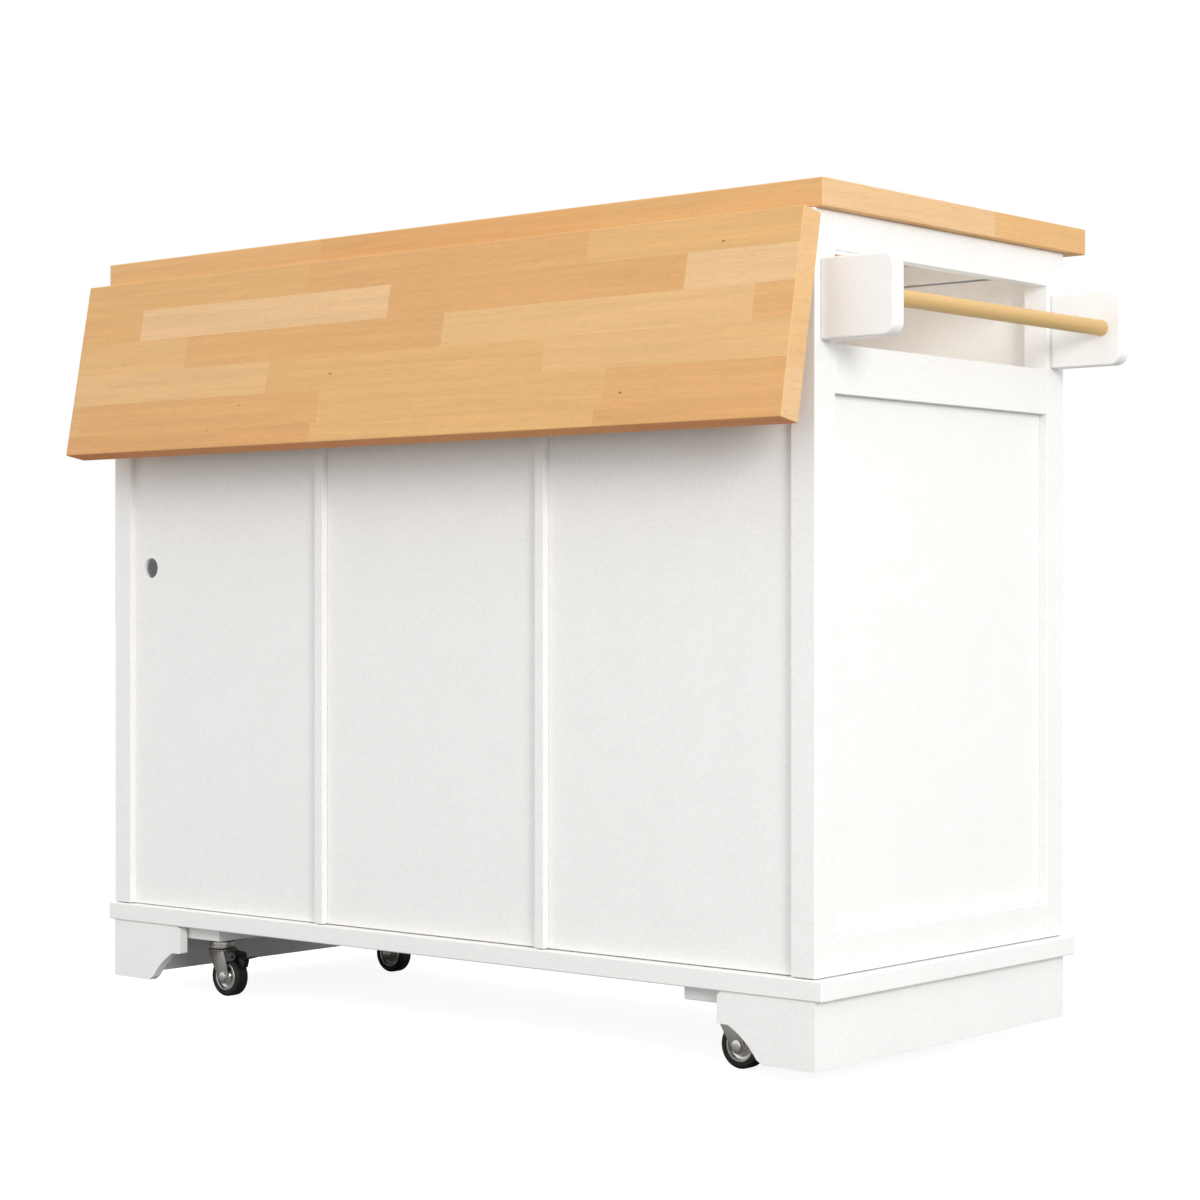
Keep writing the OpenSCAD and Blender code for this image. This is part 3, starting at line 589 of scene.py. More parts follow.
def cut_staves(obj, low, high, row_ends, rows, edges, ends, painted_shade_side=None):
    """Cuts a board into staves and stores each one's tone and grain shift on its faces. Rows run along X; the
    strips on the long edges, keyed by their side of Y, and on the ends, keyed by their side of X, have joints and
    tones of their own. The long edge on the painted shade side is marked for painted shade, a darker and redder
    colour."""
    y_cuts = [low.y] + [low.y + end * MM for end in row_ends] + [high.y]
    groups = [(lambda f, a=a, b=b: abs(f.z) > EDGE_TILT and a <= f.y < b, X, joints, tones)
              for a, b, (joints, tones) in zip(y_cuts, y_cuts[1:], rows)]
    groups += [(lambda f, s=s: f.side_y == s, X, *edges[s]) for s in edges]
    groups += [(lambda f, s=s: f.side_x == s, Y, *ends[s]) for s in ends]

    class Face:
        """What a group's test reads of a face."""

        def __init__(self, centre, normal):
            self.y, self.z = centre.y, normal.z
            flat = abs(normal.z) <= EDGE_TILT
            self.side_x = round(normal.x) if flat and abs(normal.x) > 0.7 else 0
            self.side_y = round(normal.y) if flat and not self.side_x else 0
            if abs(normal.x) > 0.7:
                self.z = 0

    with editing(obj):
        for y in y_cuts[1:-1]:
            bpy.ops.mesh.select_all(action="SELECT")
            bpy.ops.mesh.bisect(plane_co=(0, y, 0), plane_no=Y)
        for test, run, joints, _ in groups:
            for joint in joints:
                place = high.x - joint * MM if run is X else high.y - joint * MM
                if pick(obj, lambda f: test(Face(f.calc_center_median(), f.normal))):
                    bpy.ops.mesh.bisect(plane_co=run * place, plane_no=run)
    for finish_name in ("beech", "beech_end"):
        obj.data.materials.append(FINISHES[finish_name])
    values = []
    for polygon in obj.data.polygons:
        face = Face(polygon.center, polygon.normal)
        value = (0.5, 0.0, 0.0)
        for number, (test, run, joints, tones) in enumerate(groups):
            if test(face):
                far = (high.x - polygon.center.x if run is X else high.y - polygon.center.y) / MM
                index = sum(joint < far for joint in joints)
                # A stave keeps its own grain wherever its faces are
                shift = random.Random(number * SEED_STEP + index).random()
                # The third value marks the faces on the painted shade side, which get painted shade
                value = (tones[index], shift, float(face.side_y == painted_shade_side))
                polygon.material_index = 1 if run is Y else 0
                break
        values.extend(value)
    layer = obj.data.attributes.new("stave", "FLOAT_VECTOR", "FACE")
    layer.data.foreach_set("vector", values)


def random_row(seed, span):
    """Joints and tones of a row of staves with random lengths."""
    place, joints = seed.uniform(STAVE_END, STAVE_RUN[1]), []
    while place < span - STAVE_END:
        joints.append(place)
        place += seed.uniform(*STAVE_RUN)
    return tuple(joints), tuple(seed.random() for _ in range(len(joints) + 1))


class CART_OT_worktop(bpy.types.Operator):
    """Builds the butcher-block worktop"""

    bl_idname = "cart.worktop"
    bl_label = "Worktop"

    def execute(self, context):
        sizes = context.scene.cart_sizes
        low, high = box_of("worktop")
        top = ease(block("worktop_staves", low, high), sizes.wood_edge, 3)
        width = sizes.stave_width / MM
        depth = (high.y - low.y) / MM
        ends = [width * i for i in range(1, int(depth / width) + 1)]
        seed = random.Random(11)
        span = (high.x - low.x) / MM
        rows = [random_row(seed, span) for _ in range(len(ends) + 1)]
        edges = {1: ((392, 829), (0.65, 0.4, 0.55)), -1: random_row(seed, span)}
        cut_staves(top, low, high, ends, rows, edges, {-1: ((325,), (1.0, 0.55)), 1: ((210,), (0.3, 0.8))})
        finish(crisp(top), "cart", "butcher_block", None, "worktop")
        return {"FINISHED"}


HINGE = Vector(JOINTS["leaf_hinge"]["pos_m"])
LEAF_SWING = JOINTS["leaf_hinge"]["range_deg"][1]
# From the hinge's pin to the leaf's hinged edge, and the leaf's width
LEAF_SET = 4 * MM
LEAF_WIDE = 220 * MM


def hung():
    """The turn from the raised leaf to where it hangs."""
    return at(*HINGE) @ turn(-LEAF_SWING, "X") @ at(*-HINGE)


class CART_OT_leaf(bpy.types.Operator):
    """Builds the drop leaf, hanging"""

    bl_idname = "cart.leaf"
    bl_label = "Drop leaf"

    def execute(self, context):
        top_low, top_high = box_of("worktop")
        low = Vector((top_low.x, HINGE.y + LEAF_SET, top_low.z))
        high = Vector((top_high.x, low.y + LEAF_WIDE, top_high.z))
        leaf = ease(block("drop_leaf_staves", low, high), context.scene.cart_sizes.wood_edge, 3)
        edges = {1: ((520, 930), (0.0, 0.3, 0.1)), -1: ((300, 700), (0.4, 0.1, 0.6))}
        ends = {-1: ((55,), (1.0, 0.8)), 1: ((120,), (0.3, 0.6))}
        # The leaf's free long edge faces the floor as the leaf hangs, and gets painted shade
        cut_staves(leaf, low, high, LEAF_ROW_ENDS, LEAF_ROWS, edges, ends, painted_shade_side=1)
        settle(leaf, hung())
        finish(crisp(leaf), "leaf", "butcher_block", None, "drop_leaf")
        return {"FINISHED"}


# ---- Towel rail ----


ARM_THICK, ARM_CORNER, ARM_EDGE = 20 * MM, 13 * MM, 2.2 * MM
# Bevel on the dowel's ends and the play in its holes, in millimetres
ROD_BEVEL, ROD_PLAY = 0.6, 0.1


class CART_OT_towel_rail(bpy.types.Operator):
    """Builds the two arms and the dowel of the towel rail"""

    bl_idname = "cart.towel_rail"
    bl_label = "Towel rail"

    def execute(self, context):
        low, high = box_of("towel_arms")
        rod_low, rod_high = box_of("towel_dowel")
        outer = lambda e: all(v.co.x < low.x + WELD for v in e.verts) and abs(run_of(e).y) > MM
        centre = (rod_low + rod_high) / 2
        radius = (rod_high.z - rod_low.z) / 2 / MM
        span = math.floor((rod_high.y - rod_low.y) / MM)
        for name, y in (("near", high.y - ARM_THICK), ("far", low.y)):
            arm = block("towel_arm_" + name, (low.x, y, low.z), (high.x, y + ARM_THICK, high.z))
            round_edges(arm, outer, ARM_CORNER, 8)
            ease(arm, ARM_EDGE, 3, 40)
            bore = radius + ROD_PLAY
            hole = turned("hole", [(0, 0), (bore, 0), (bore, span + 1), (0, span + 1)], 64)
            settle(hole, at(centre.x, rod_high.y + 0.5 * MM, centre.z) @ turn(90, "X"))
            # Both arms are one node of the frame, which the near one stands for
            replaced = ("towel_arms",) if name == "near" else ()
            finish(crisp(cut(arm, hole)), "cart", "white_paint", "paint", *replaced)
        inner = radius - ROD_BEVEL
        rod = turned("towel_dowel_rod", [(0, 0), (inner, 0), (radius, ROD_BEVEL), (radius, span - ROD_BEVEL),
                                         (inner, span), (0, span)], 64)
        settle(rod, at(centre.x, rod_high.y, centre.z) @ turn(90, "X"))
        finish(rod, "cart", "dowel_wood", "dowel", "towel_dowel")
        return {"FINISHED"}


# ---- Knobs, doors and drawer fronts ----


def knob():
    """A turned knob pointing to -Y, with the middle of its foot at the origin."""
    stem = [(0, 0), (9, 0), (9.4, 0.6), (9.2, 1.6), (7.2, 2.6), (5.8, 4.4), (5.2, 7.5), (5.5, 10.5)]
    bulb = [(7.4, 12.8), (11, 14.2)] + arc((11, 17.6), 3.0, -75, 60, 6) + [(10.6, 21.8), (8.6, 23.4)]
    return settle(turned("knob", stem + bulb + [(5, 24.6), (0, 25)], 64), turn(90, "X"))


def board_with_edges(name, low, high, width):
    return crisp(ease(block(name, low, high), width, 3))


# Radius of the bead that holds a door's panel, in millimetres
BEAD_R = 5
# The bead's outline X becomes depth towards -Y, its outline Y becomes height, and its length runs along X
BEAD_WAY = Matrix(((0, 0, 1, 0), (-1, 0, 0, 0), (0, 1, 0, 0), (0, 0, 0, 1)))


class CART_OT_doors(bpy.types.Operator):
    """Builds the doors' frames from stiles, rails and beads, and paints their panels"""

    bl_idname = "cart.doors"
    bl_label = "Doors"

    def execute(self, context):
        edge = context.scene.cart_sizes.eased_edge
        for side in BAYS:
            low, high = box_of(f"door_{side}_frame")
            p_low, p_high = box_of(f"door_{side}_panel")
            parts = [
                board_with_edges("stile", low, (p_low.x, high.y, high.z), edge),
                board_with_edges("stile", (p_high.x, low.y, low.z), high, edge),
                board_with_edges("rail", (p_low.x, low.y, low.z), (p_high.x, high.y, p_low.z), edge / 2),
                board_with_edges("rail", (p_low.x, low.y, p_high.z), (p_high.x, high.y, high.z), edge / 2),
            ]
            bead = prism("bead", [(0, 0), (BEAD_R, 0)] + arc((0, 0), BEAD_R, 15, 90, 5), 1)
            wide, tall = p_high.x - p_low.x, p_high.z - p_low.z
            for x, z, angle, span in ((p_low.x, p_low.z, 0, wide), (p_high.x, p_low.z, 90, tall),
                                      (p_high.x, p_high.z, 180, wide), (p_low.x, p_high.z, 270, tall)):
                strip = settle(twin(bead, "bead_run", Matrix.Diagonal((1, 1, span / MM, 1))), BEAD_WAY)
                settle(strip, at(x, p_low.y, z) @ turn(-angle, "Y"))
                outward(strip)
                parts.append(smooth(strip))
            bpy.data.objects.remove(bead)
            finish(join(f"door_{side}_stiles_and_rails", parts), f"door_{side}", "white_paint", "paint",
                   f"door_{side}_frame")
            coat(NODES[f"door_{side}_panel"], "paint")
        return {"FINISHED"}


class CART_OT_fronts(bpy.types.Operator):
    """Builds the drawers' fronts and the false front"""

    bl_idname = "cart.fronts"
    bl_label = "Drawer fronts"

    def execute(self, context):
        edge = context.scene.cart_sizes.eased_edge
        for node, body in (("false_front", "cart"), ("drawer_middle_front", "drawer_middle"),
                           ("drawer_right_front", "drawer_right")):
            low, high = box_of(node)
            front = block(node + "_board", low, high)
            # A shallow raised field with a bevelled border, like the doors' panels turned outwards
            with editing(front):
                pick(front, lambda f: f.normal.y < -0.9)
                bpy.ops.mesh.inset(thickness=14 * MM, depth=0)
                bpy.ops.mesh.inset(thickness=3 * MM, depth=-2 * MM)
            finish(crisp(ease(front, edge, 2, 50), 30), body, "white_paint", "paint", node)
        return {"FINISHED"}


# ---- Hinges ----


def screw(size):
    """A countersunk screw's head with a cross recess, facing +Z, its rim at the origin's height."""
    radius = size / MM / 2
    reach = radius * 0.55 * MM
    head = turned("screw", [(0, -1.6), (1.4, -1.6), (radius - 0.3, -0.2), (radius, 0), (radius * 0.75, 0.35),
                            (0, 0.5)], 24)
    for angle in (0, 90):
        slot = block("slot", (-reach, -0.4 * MM, -0.5 * MM), (reach, 0.4 * MM, 2 * MM))
        cut(head, settle(slot, turn(angle, "Z")))
    return smooth(head)


def knuckle(span):
    """A door hinge's rolled knuckle along Z, with eased rims."""
    a, b = span
    rim = KNUCKLE_R - 0.4
    return turned("knuckle", [(0, a), (rim, a), (KNUCKLE_R, a + 0.4), (KNUCKLE_R, b - 0.4), (rim, b),
                              (0, b)], 32)


# A door hinge, in millimetres: height, knuckle radius, leaf depth, near and far face of a leaf from the
# pin, and its middle from the door's end
HINGE_TALL, KNUCKLE_R, PLATE_DEEP = 60, 4, 22.4
PLATE_NEAR, PLATE_FAR, HINGE_INSET = 0.2, 1, 70
# The middle knuckle turns with the door; the two outer ones are fixed
MOVING_SPAN = (-HINGE_TALL / 6, HINGE_TALL / 6)
FIXED_SPANS = ((-HINGE_TALL / 2, -HINGE_TALL / 6 - 0.3), (HINGE_TALL / 6 + 0.3, HINGE_TALL / 2))
# A door knob's place from the door's free edge and top, in millimetres
KNOB_IN, KNOB_DOWN = 27.5, 90
# A runner's sliding member, in millimetres: sheet, depth, height, how much shorter than the box, and how
# far above the fixed member's foot
SHEET, SLIDE_DEEP, SLIDE_TALL, SLIDE_SHORT, SLIDE_UP = 1.5, 9, 30, 2, 2.5


class CART_OT_door_hardware(bpy.types.Operator):
    """Builds the doors' butt hinges and the knobs on the doors and the false front"""

    bl_idname = "cart.door_hardware"
    bl_label = "Door hinges and knobs"

    def execute(self, context):
        handle = knob()
        seat, far = middle("false_front_knob"), box_of("false_front_knob")[1]
        finish(twin(handle, "false_front_knob_turned", at(seat.x, far.y, seat.z)), "cart", "nickel_plate",
               "nickel", "false_front_knob")
        fixed = []
        for side in BAYS:
            hinge = Vector(JOINTS[f"door_{side}_hinge"]["pos_m"])
            low, high = box_of(f"door_{side}_frame")
            way = -1 if side == "right" else 1
            moving = []

            def plate(facing, z_low, z_high):
                return block("plate", (hinge.x + facing * PLATE_NEAR * MM, hinge.y, z_low),
                             (hinge.x + facing * PLATE_FAR * MM, hinge.y + PLATE_DEEP * MM, z_high))

            for z in (low.z + HINGE_INSET * MM, high.z - HINGE_INSET * MM):
                place = at(hinge.x, hinge.y, z)
                moving.append(settle(knuckle(MOVING_SPAN), place))
                moving.append(smooth(plate(way, z + MOVING_SPAN[0] * MM, z + MOVING_SPAN[1] * MM)))
                for span in FIXED_SPANS:
                    fixed.append(settle(knuckle(span), place))
                    fixed.append(plate(-way, z + span[0] * MM, z + span[1] * MM))
                for end, flip in ((HINGE_TALL / 2, 0), (-HINGE_TALL / 2, 180)):
                    ball = arc((0, 2.6), 2.4, -40, 60, 6)
                    tip = turned("finial", [(0, 0), (2.2, 0), (2.2, 0.6)] + ball + [(0, 5.2)], 24)
                    fixed.append(settle(tip, place @ at(0, 0, end * MM) @ turn(flip, "X")))
            knob_x = (low.x if side == "right" else high.x) - way * KNOB_IN * MM
            moving.append(twin(handle, "knob", at(knob_x, low.y, high.z - KNOB_DOWN * MM)))
            finish(join(f"door_{side}_knob_and_hinges", moving), f"door_{side}", "nickel_plate", "nickel",
                   f"door_{side}_hardware")
        finish(join("door_hinge_fixed_leaves", fixed), "cart", "nickel_plate", "nickel", "door_hinge_plates")
        bpy.data.objects.remove(handle)
        return {"FINISHED"}


class CART_OT_drawer_hardware(bpy.types.Operator):
    """Builds the knobs on the drawers and the sliding members of their runners"""

    bl_idname = "cart.drawer_hardware"
    bl_label = "Drawer knobs and slides"

    def execute(self, context):
        handle = knob()
        runner_low = box_of("drawer_runners")[0]
        inner_x, inner_z = SLIDE_DEEP - SHEET, SLIDE_TALL - SHEET
        # A channel that is open towards the wall
        outline = [(0, 0), (SLIDE_DEEP, 0), (SLIDE_DEEP, SLIDE_TALL), (0, SLIDE_TALL), (0, inner_z),
                   (inner_x, inner_z), (inner_x, SHEET), (0, SHEET)]
        for side in BAYS[1:]:
            centre, front = middle(f"drawer_{side}_front"), box_of(f"drawer_{side}_front")[0]
            low, high = box_of(f"drawer_{side}_box")
            parts = [twin(handle, "knob", at(centre.x, front.y, centre.z))]
            slide = settle(prism("slide", outline, (high.y - low.y) / MM - SLIDE_SHORT), turn(90, "X"))
            ease(slide, 0.3 * MM, 1)
            for x, flip in ((low.x - SLIDE_DEEP * MM, 1), (high.x + SLIDE_DEEP * MM, -1)):
                place = at(x, high.y, runner_low.z + SLIDE_UP * MM)
                member = twin(slide, "member", place @ Matrix.Diagonal((flip, 1, 1, 1)))
                outward(member)
                parts.append(member)
            bpy.data.objects.remove(slide)
            finish(join(f"drawer_{side}_knob_and_slides", parts), f"drawer_{side}", "nickel_plate", "nickel",
                   f"drawer_{side}_hardware")
        bpy.data.objects.remove(handle)
        return {"FINISHED"}


# The frame's own flat metal parts, and their finishes
PLATED = {"leaf_hinge_plates": "nickel", "leaf_hinge_straps": "nickel", "leaf_support_brackets": "zinc",
          "leaf_support_arms": "zinc", "leaf_strut_left": "zinc", "leaf_strut_right": "zinc",
          "shelf_brackets": "nickel", "drawer_runners": "nickel"}
# Places of the leaf's hinges along the cart and of each one's screws across and along it, in millimetres
LEAF_HINGES = (-420, 0, 420)
LEAF_SCREWS = ((-20, 10), (20, 10), (-12, 22), (12, 22))
# Thickness of the hinges' leaves with the screws' rims, and of the wall angles
STRAP, ANGLE = 1.8 * MM, 2 * MM
# Screws of a wall angle, across from its pivot and above and below it
ANGLE_SCREW_X, ANGLE_SCREW_Z = 4.5 * MM, 18 * MM
# Distance of a strut's upper pin from the strut's end
STRUT_END = 6 * MM


class CART_OT_leaf_hardware(bpy.types.Operator):
    """Finishes the leaf's hinges and supports, and adds their screws and rivets"""

    bl_idname = "cart.leaf_hardware"
    bl_label = "Leaf hinges and supports"

    def execute(self, context):
        for name, finish_name in PLATED.items():
            coat_node(name, finish_name, 0.25 * MM, 1, 50)
        head = screw(context.scene.cart_sizes.screw_head)
        centre, top_low = middle("leaf_hinge_plates"), box_of("worktop")[0]
        hinged_edge = HINGE.y + LEAF_SET
        screws = []
        for x in LEAF_HINGES:
            for across, along in LEAF_SCREWS:
                spot = (centre.x + (x + across) * MM, hinged_edge + along * MM, top_low.z - STRAP)
                screws.append(twin(head, "screw", hung() @ at(*spot) @ turn(180, "X")))
        finish(join("leaf_hinge_screws", screws), "leaf", "nickel_plate", "nickel")
        screws = []
        wall = box_of("leaf_support_brackets")[0].y + ANGLE
        outline = [(0, -9.6), (4, -9.6), (5, -9.2), (5, -8.2), (2.9, -8.2), (2.9, -2), (5, -2), (5, 0),
                   (4.4, 0.9), (2.6, 1.6), (0, 1.8)]
        for side in ("left", "right"):
            pivot = Vector(JOINTS[f"strut_{side}_pivot"]["pos_m"])
            for z in (-ANGLE_SCREW_Z, ANGLE_SCREW_Z):
                place = at(pivot.x - ANGLE_SCREW_X, wall, pivot.z + z)
                screws.append(twin(head, "screw", place @ turn(-90, "X")))
            # The strut hangs from its pivot, with its free pin at the lowest corner of its box
            low, high = box_of(f"leaf_strut_{side}")
            rivet = turned(f"leaf_strut_{side}_rivet", outline, 32)
            settle(rivet, at(high.x, high.y - STRUT_END, low.z + STRUT_END) @ turn(90, "Y"))
            finish(rivet, f"strut_{side}", "zinc_plate", "zinc")
        finish(join("leaf_bracket_screws", screws), "cart", "zinc_plate", "zinc")
        bpy.data.objects.remove(head)
        return {"FINISHED"}


# ---- Drawers ----


DRAWER_WALL, DRAWER_BOTTOM, DRAWER_EDGE = 12 * MM, 6 * MM, 0.35 * MM
# The bottom hides in the walls, a hair above their lower edges
BOTTOM_UP = 0.2 * MM


class CART_OT_drawers(bpy.types.Operator):
    """Builds the drawer boxes with their finger joints and bottoms"""

    bl_idname = "cart.drawers"
    bl_label = "Drawer boxes"

    def execute(self, context):
        for side in BAYS[1:]:
            low, high = box_of(f"drawer_{side}_box")
            count = round((high.z - low.z) / context.scene.cart_sizes.finger)
            finger = (high.z - low.z) / count
            parts = []

            def board(corner, size, finish_name):
                far = Vector(corner) + Vector(size)
                parts.append(coat(ease(block("board", corner, far), DRAWER_EDGE, 1), finish_name))

            inner_x, inner_y = high.x - low.x - 2 * DRAWER_WALL, high.y - low.y - 2 * DRAWER_WALL
            walls_x, walls_y = (low.x, high.x - DRAWER_WALL), (low.y, high.y - DRAWER_WALL)
            for x in walls_x:
                board((x, low.y + DRAWER_WALL, low.z), (DRAWER_WALL, inner_y, high.z - low.z), "birch_y")
            for y in walls_y:
                board((low.x + DRAWER_WALL, y, low.z), (inner_x, DRAWER_WALL, high.z - low.z), "birch_x")
            for x in walls_x:
                for y in walls_y:
                    for k in range(count):
                        board((x, y, low.z + k * finger), (DRAWER_WALL, DRAWER_WALL, finger),
                              ("birch_x", "birch_y")[k % 2])
            board((low.x + DRAWER_WALL / 2, low.y + DRAWER_WALL / 2, low.z + BOTTOM_UP),
                  (inner_x + DRAWER_WALL, inner_y + DRAWER_WALL, DRAWER_BOTTOM - BOTTOM_UP), "birch_y")
            finish(join(f"drawer_{side}_box_jointed", parts), f"drawer_{side}", "drawer_wood", None,
                   f"drawer_{side}_box")
        return {"FINISHED"}


# ---- Casters ----

# In this section's values, all in millimetres, X and Y run from the swivel axis and Z from the floor.
# Heights of the axle, the crown's underside, and the plate's underside and top
AXLE_Z, CROWN_Z, PLATE_Z, TOP_Z = 25, 56, 70.5, 73
# Axle behind the swivel axis, inner face of a leg from the middle, a leg's thickness, radius round its bolt
TRAIL, LEG_Y, LEG_T, EYE = 14, 10.5, 2, 9
# Thickness of the ears that carry the brake
EAR_T = 1.2
# X and Z of the pedal's pin
PEDAL = (-30, 51)


def fork(braked):
    """A pressed fork with its axle bolt, about its swivel axis."""
    top = CROWN_Z + 2.5
    crown = turned("crown", [(4.1, CROWN_Z), (17, CROWN_Z), (18, CROWN_Z + 1), (18, CROWN_Z + 1.8),
                             (17.3, top), (4.1, top), (4.1, CROWN_Z)], 48)
    outline = arc((-TRAIL, AXLE_Z), EYE, 350, 180, 12) + [(-TRAIL - 5, CROWN_Z - 10), (-14, CROWN_Z + 2.4),
                                                          (13, CROWN_Z + 2.4), (11.5, CROWN_Z - 6)]
    leg = smooth(ease(settle(prism("leg", outline, LEG_T), turn(90, "X")), 0.45 * MM, 2, 50))
    settle(leg, at(0, (LEG_Y + LEG_T) * MM, 0))
    parts = [crown, leg, twin(leg, "leg", at(0, -(2 * LEG_Y + LEG_T) * MM, 0))]
    for part in parts:
        coat(part, "fork")
    if braked:
        # The brake's pin runs in an ear welded behind each leg
        outline = [(-TRAIL + 1, CROWN_Z - 14)] + arc(PEDAL, 4.5, 255, 95, 8) + [(-TRAIL + 1, CROWN_Z + 1)]
        ear = smooth(ease(settle(prism("ear", outline, EAR_T), turn(90, "X")), 0.3 * MM, 1, 50))
        coat(settle(ear, at(0, LEG_Y * MM, 0)), "zinc")
        parts += [ear, twin(ear, "ear", at(0, (EAR_T - 2 * LEG_Y) * MM, 0))]
    face = LEG_Y + LEG_T
    bolt = turned("bolt", [(0, -face - 0.5), (3, -face - 0.5), (3, face), (6.8, face), (6.8, 13.4),
                           (6.4, 14.3), (5.2, 14.9), (2.6, 15.2), (0, 15.3)], 32)
    nut = ease(prism("nut", arc((0, 0), 5.5, 0, 300, 5), 2.6), 0.4 * MM, 2)
    settle(nut, at(0, 0, -(face + 2.7) * MM))
    for part in (bolt, nut):
        parts.append(settle(coat(part, "steel"), at(-TRAIL * MM, 0, AXLE_Z * MM) @ turn(-90, "X")))
    return join("fork_braked" if braked else "fork_plain", parts)


def caster_plate():
    """The screwed plate with its ball race and kingpin, about its swivel axis."""
    plate = block("plate", (-25 * MM, -21 * MM, PLATE_Z * MM), (25 * MM, 21 * MM, TOP_Z * MM))
    round_edges(plate, lambda e: abs(run_of(e).z) > MM, 4 * MM, 4)
    ease(plate, 0.4 * MM, 2, 50)
    kingpin = [(0, 53), (6.5, 53), (7, 53.6), (7, 55), (4, 55.7), (4, 58.8)]
    balls = [(13.2, 58.8), (15.4, 59.6), (16, 61), (16, 63), (15, 63.6), (15, 64.6), (16, 65.2), (16, 67.6)]
    race = turned("race", kingpin + balls + [(14.6, 69.4), (14.6, 70.6), (0, 70.6)], 48)
    head = coat(screw(7 * MM), "steel")
    parts = [coat(plate, "zinc"), coat(race, "steel")]
    for x in (-20, 20):
        for y in (-16, 16):
            parts.append(twin(head, "screw", at(x * MM, y * MM, PLATE_Z * MM) @ turn(180, "X")))
    bpy.data.objects.remove(head)
    return join("caster_plate", parts)


def on_axle(name, half, steps):
    """A ring with one half of its outline, from the wheel's middle outwards, on the axle's line."""
    ring = turned(name, half + [(r, -h) for r, h in reversed(half)], steps)
    return settle(ring, at(-TRAIL * MM, 0, AXLE_Z * MM) @ turn(90, "X"))


def hub():
    return on_axle("hub", [(3.1, 0), (3.1, 10.2), (5.6, 10.2), (6, 9.8), (6, 7.6), (7.4, 5.6), (12.6, 4.4),
                           (14.4, 5.2), (15.2, 8), (15.8, 8.6), (17.2, 8.6), (17.8, 8)], 48)


def tyre():
    tread = arc((22, 6), 3, 85, 5, 6) + [(25, 3.4)]
    return on_axle("tyre", [(17.8, 0), (17.8, 8.2), (18.6, 9), (21.6, 9)] + tread, 64)


def pedal():
    """A brake's moulded tab, its lever down to the tyre, the grips on the tab, and its pin."""
    tab = [(-9, -1.6), (-13, -1.7), (-18, -0.8), (-24.5, 0.6), (-24.5, -0.6), (-18, -2.1),
           (-14, -3.2), (-9, -3.2)]
    lever = [(5, -1.5), (5, 2.4), (1, 3.4), (-3, 2.8), (-7, 0.6), (-11, -1.6), (-14.5, -3.2), (-15.4, -4.2),
             (-12.2, -13.4), (-11.2, -14), (-9.6, -11), (-6, -7), (-1, -3.5)]
    parts = []
    for name, outline, width in (("tab", tab, 17.6), ("lever", lever, 9)):
        body = settle(prism(name, outline, width), turn(90, "X"))
        settle(body, at(PEDAL[0] * MM, width / 2 * MM, PEDAL[1] * MM))
        parts.append(smooth(ease(body, 0.4 * MM, 2, 35)))
    for x in (-22.5, -20, -17.5):
        # The tab rises 1 in 5 towards its end
        z = -0.2 * (x + 20)
        grip = block("grip", ((PEDAL[0] + x - 0.5) * MM, -7 * MM, (PEDAL[1] + z - 0.8) * MM),
                     ((PEDAL[0] + x + 0.5) * MM, 7 * MM, (PEDAL[1] + z + 0.2) * MM))
        parts.append(ease(grip, 0.2 * MM, 1))
    pin = turned("pin", [(0, -12.5), (2, -12.5), (2, 12.5), (0, 12.5)], 24)
    parts.append(settle(pin, at(PEDAL[0] * MM, 0, PEDAL[1] * MM) @ turn(90, "X")))
    return join("pedal", parts)


class CART_OT_casters(bpy.types.Operator):
    """Builds one caster of each kind and copies it to its corners"""

    bl_idname = "cart.casters"
    bl_label = "Casters"

    def execute(self, context):
        models = {"plate": caster_plate(), "plain": fork(False), "braked": fork(True), "hub": hub(),
                  "tyre": tyre(), "pedal": pedal()}
        plates = []
        for corner in CORNERS:
            axis = Vector(JOINTS[f"swivel_{corner}"]["pos_m"])
            place = at(axis.x, axis.y, 0)
            back = corner.startswith("back")
            plates.append(twin(models["plate"], "plate", place))
            pieces = [
                ("braked" if back else "plain", f"fork_{corner}", "pressed", "swivel", "zinc_plate", None),
                ("hub", f"hub_{corner}", "dished", "wheel", "hub_steel", "steel"),
                ("tyre", f"tyre_{corner}", "moulded", "wheel", "tyre_rubber", "rubber"),
            ]
            if back:
                pieces.append(("pedal", f"brake_{corner}", "pedal", "pedal", "brake_plastic", "nylon"))
            for model, node, made_as, body, slot, finish_name in pieces:
                finish(twin(models[model], f"{node}_{made_as}", place), f"{body}_{corner}", slot, finish_name,
                       node)
        finish(join("caster_plates_and_races", plates), "cart", "zinc_plate", None, "caster_plates")
        for model in models.values():
            bpy.data.objects.remove(model)
        return {"FINISHED"}


# ---- Stage ----


AMBIENT = (1.07, 1.07, 1.07, 1)
FLOOR_SHADE, FLOOR_GLOW = 0.3, 0.9
# Name, place, diameter and power of each round lamp, all aimed at the cart's middle
LAMPS = (
    ("key_end", (-5.1, 2.7, 2.2), 2.0, 142),
    ("key_back", (0.4, 3.2, 3.2), 2.6, 8),
    ("fill_front", (1.6, -3.4, 2.4), 1.6, 40),
)
AIM = Vector((0, 0, 0.45))
# Small lights inside stand in for the many bounces between white walls: name, node that each one is near,
# place from that node's middle, and power
BOUNCES = (
    ("niche_fill", "niche_floor", Vector((-0.05, 0, 0.05)), 0.4),
    ("bay_fill", "cable_back_panel", Vector((0, -0.25, 0.12)), 0.12),
)
BOUNCE_TINT, BOUNCE_SIZE = "#E2F3FF", 0.03
CAMERA_PLACE, CAMERA_YAW, CAMERA_LENS = (-2.1361, 2.4619, 0.499), 220.492, 81.08


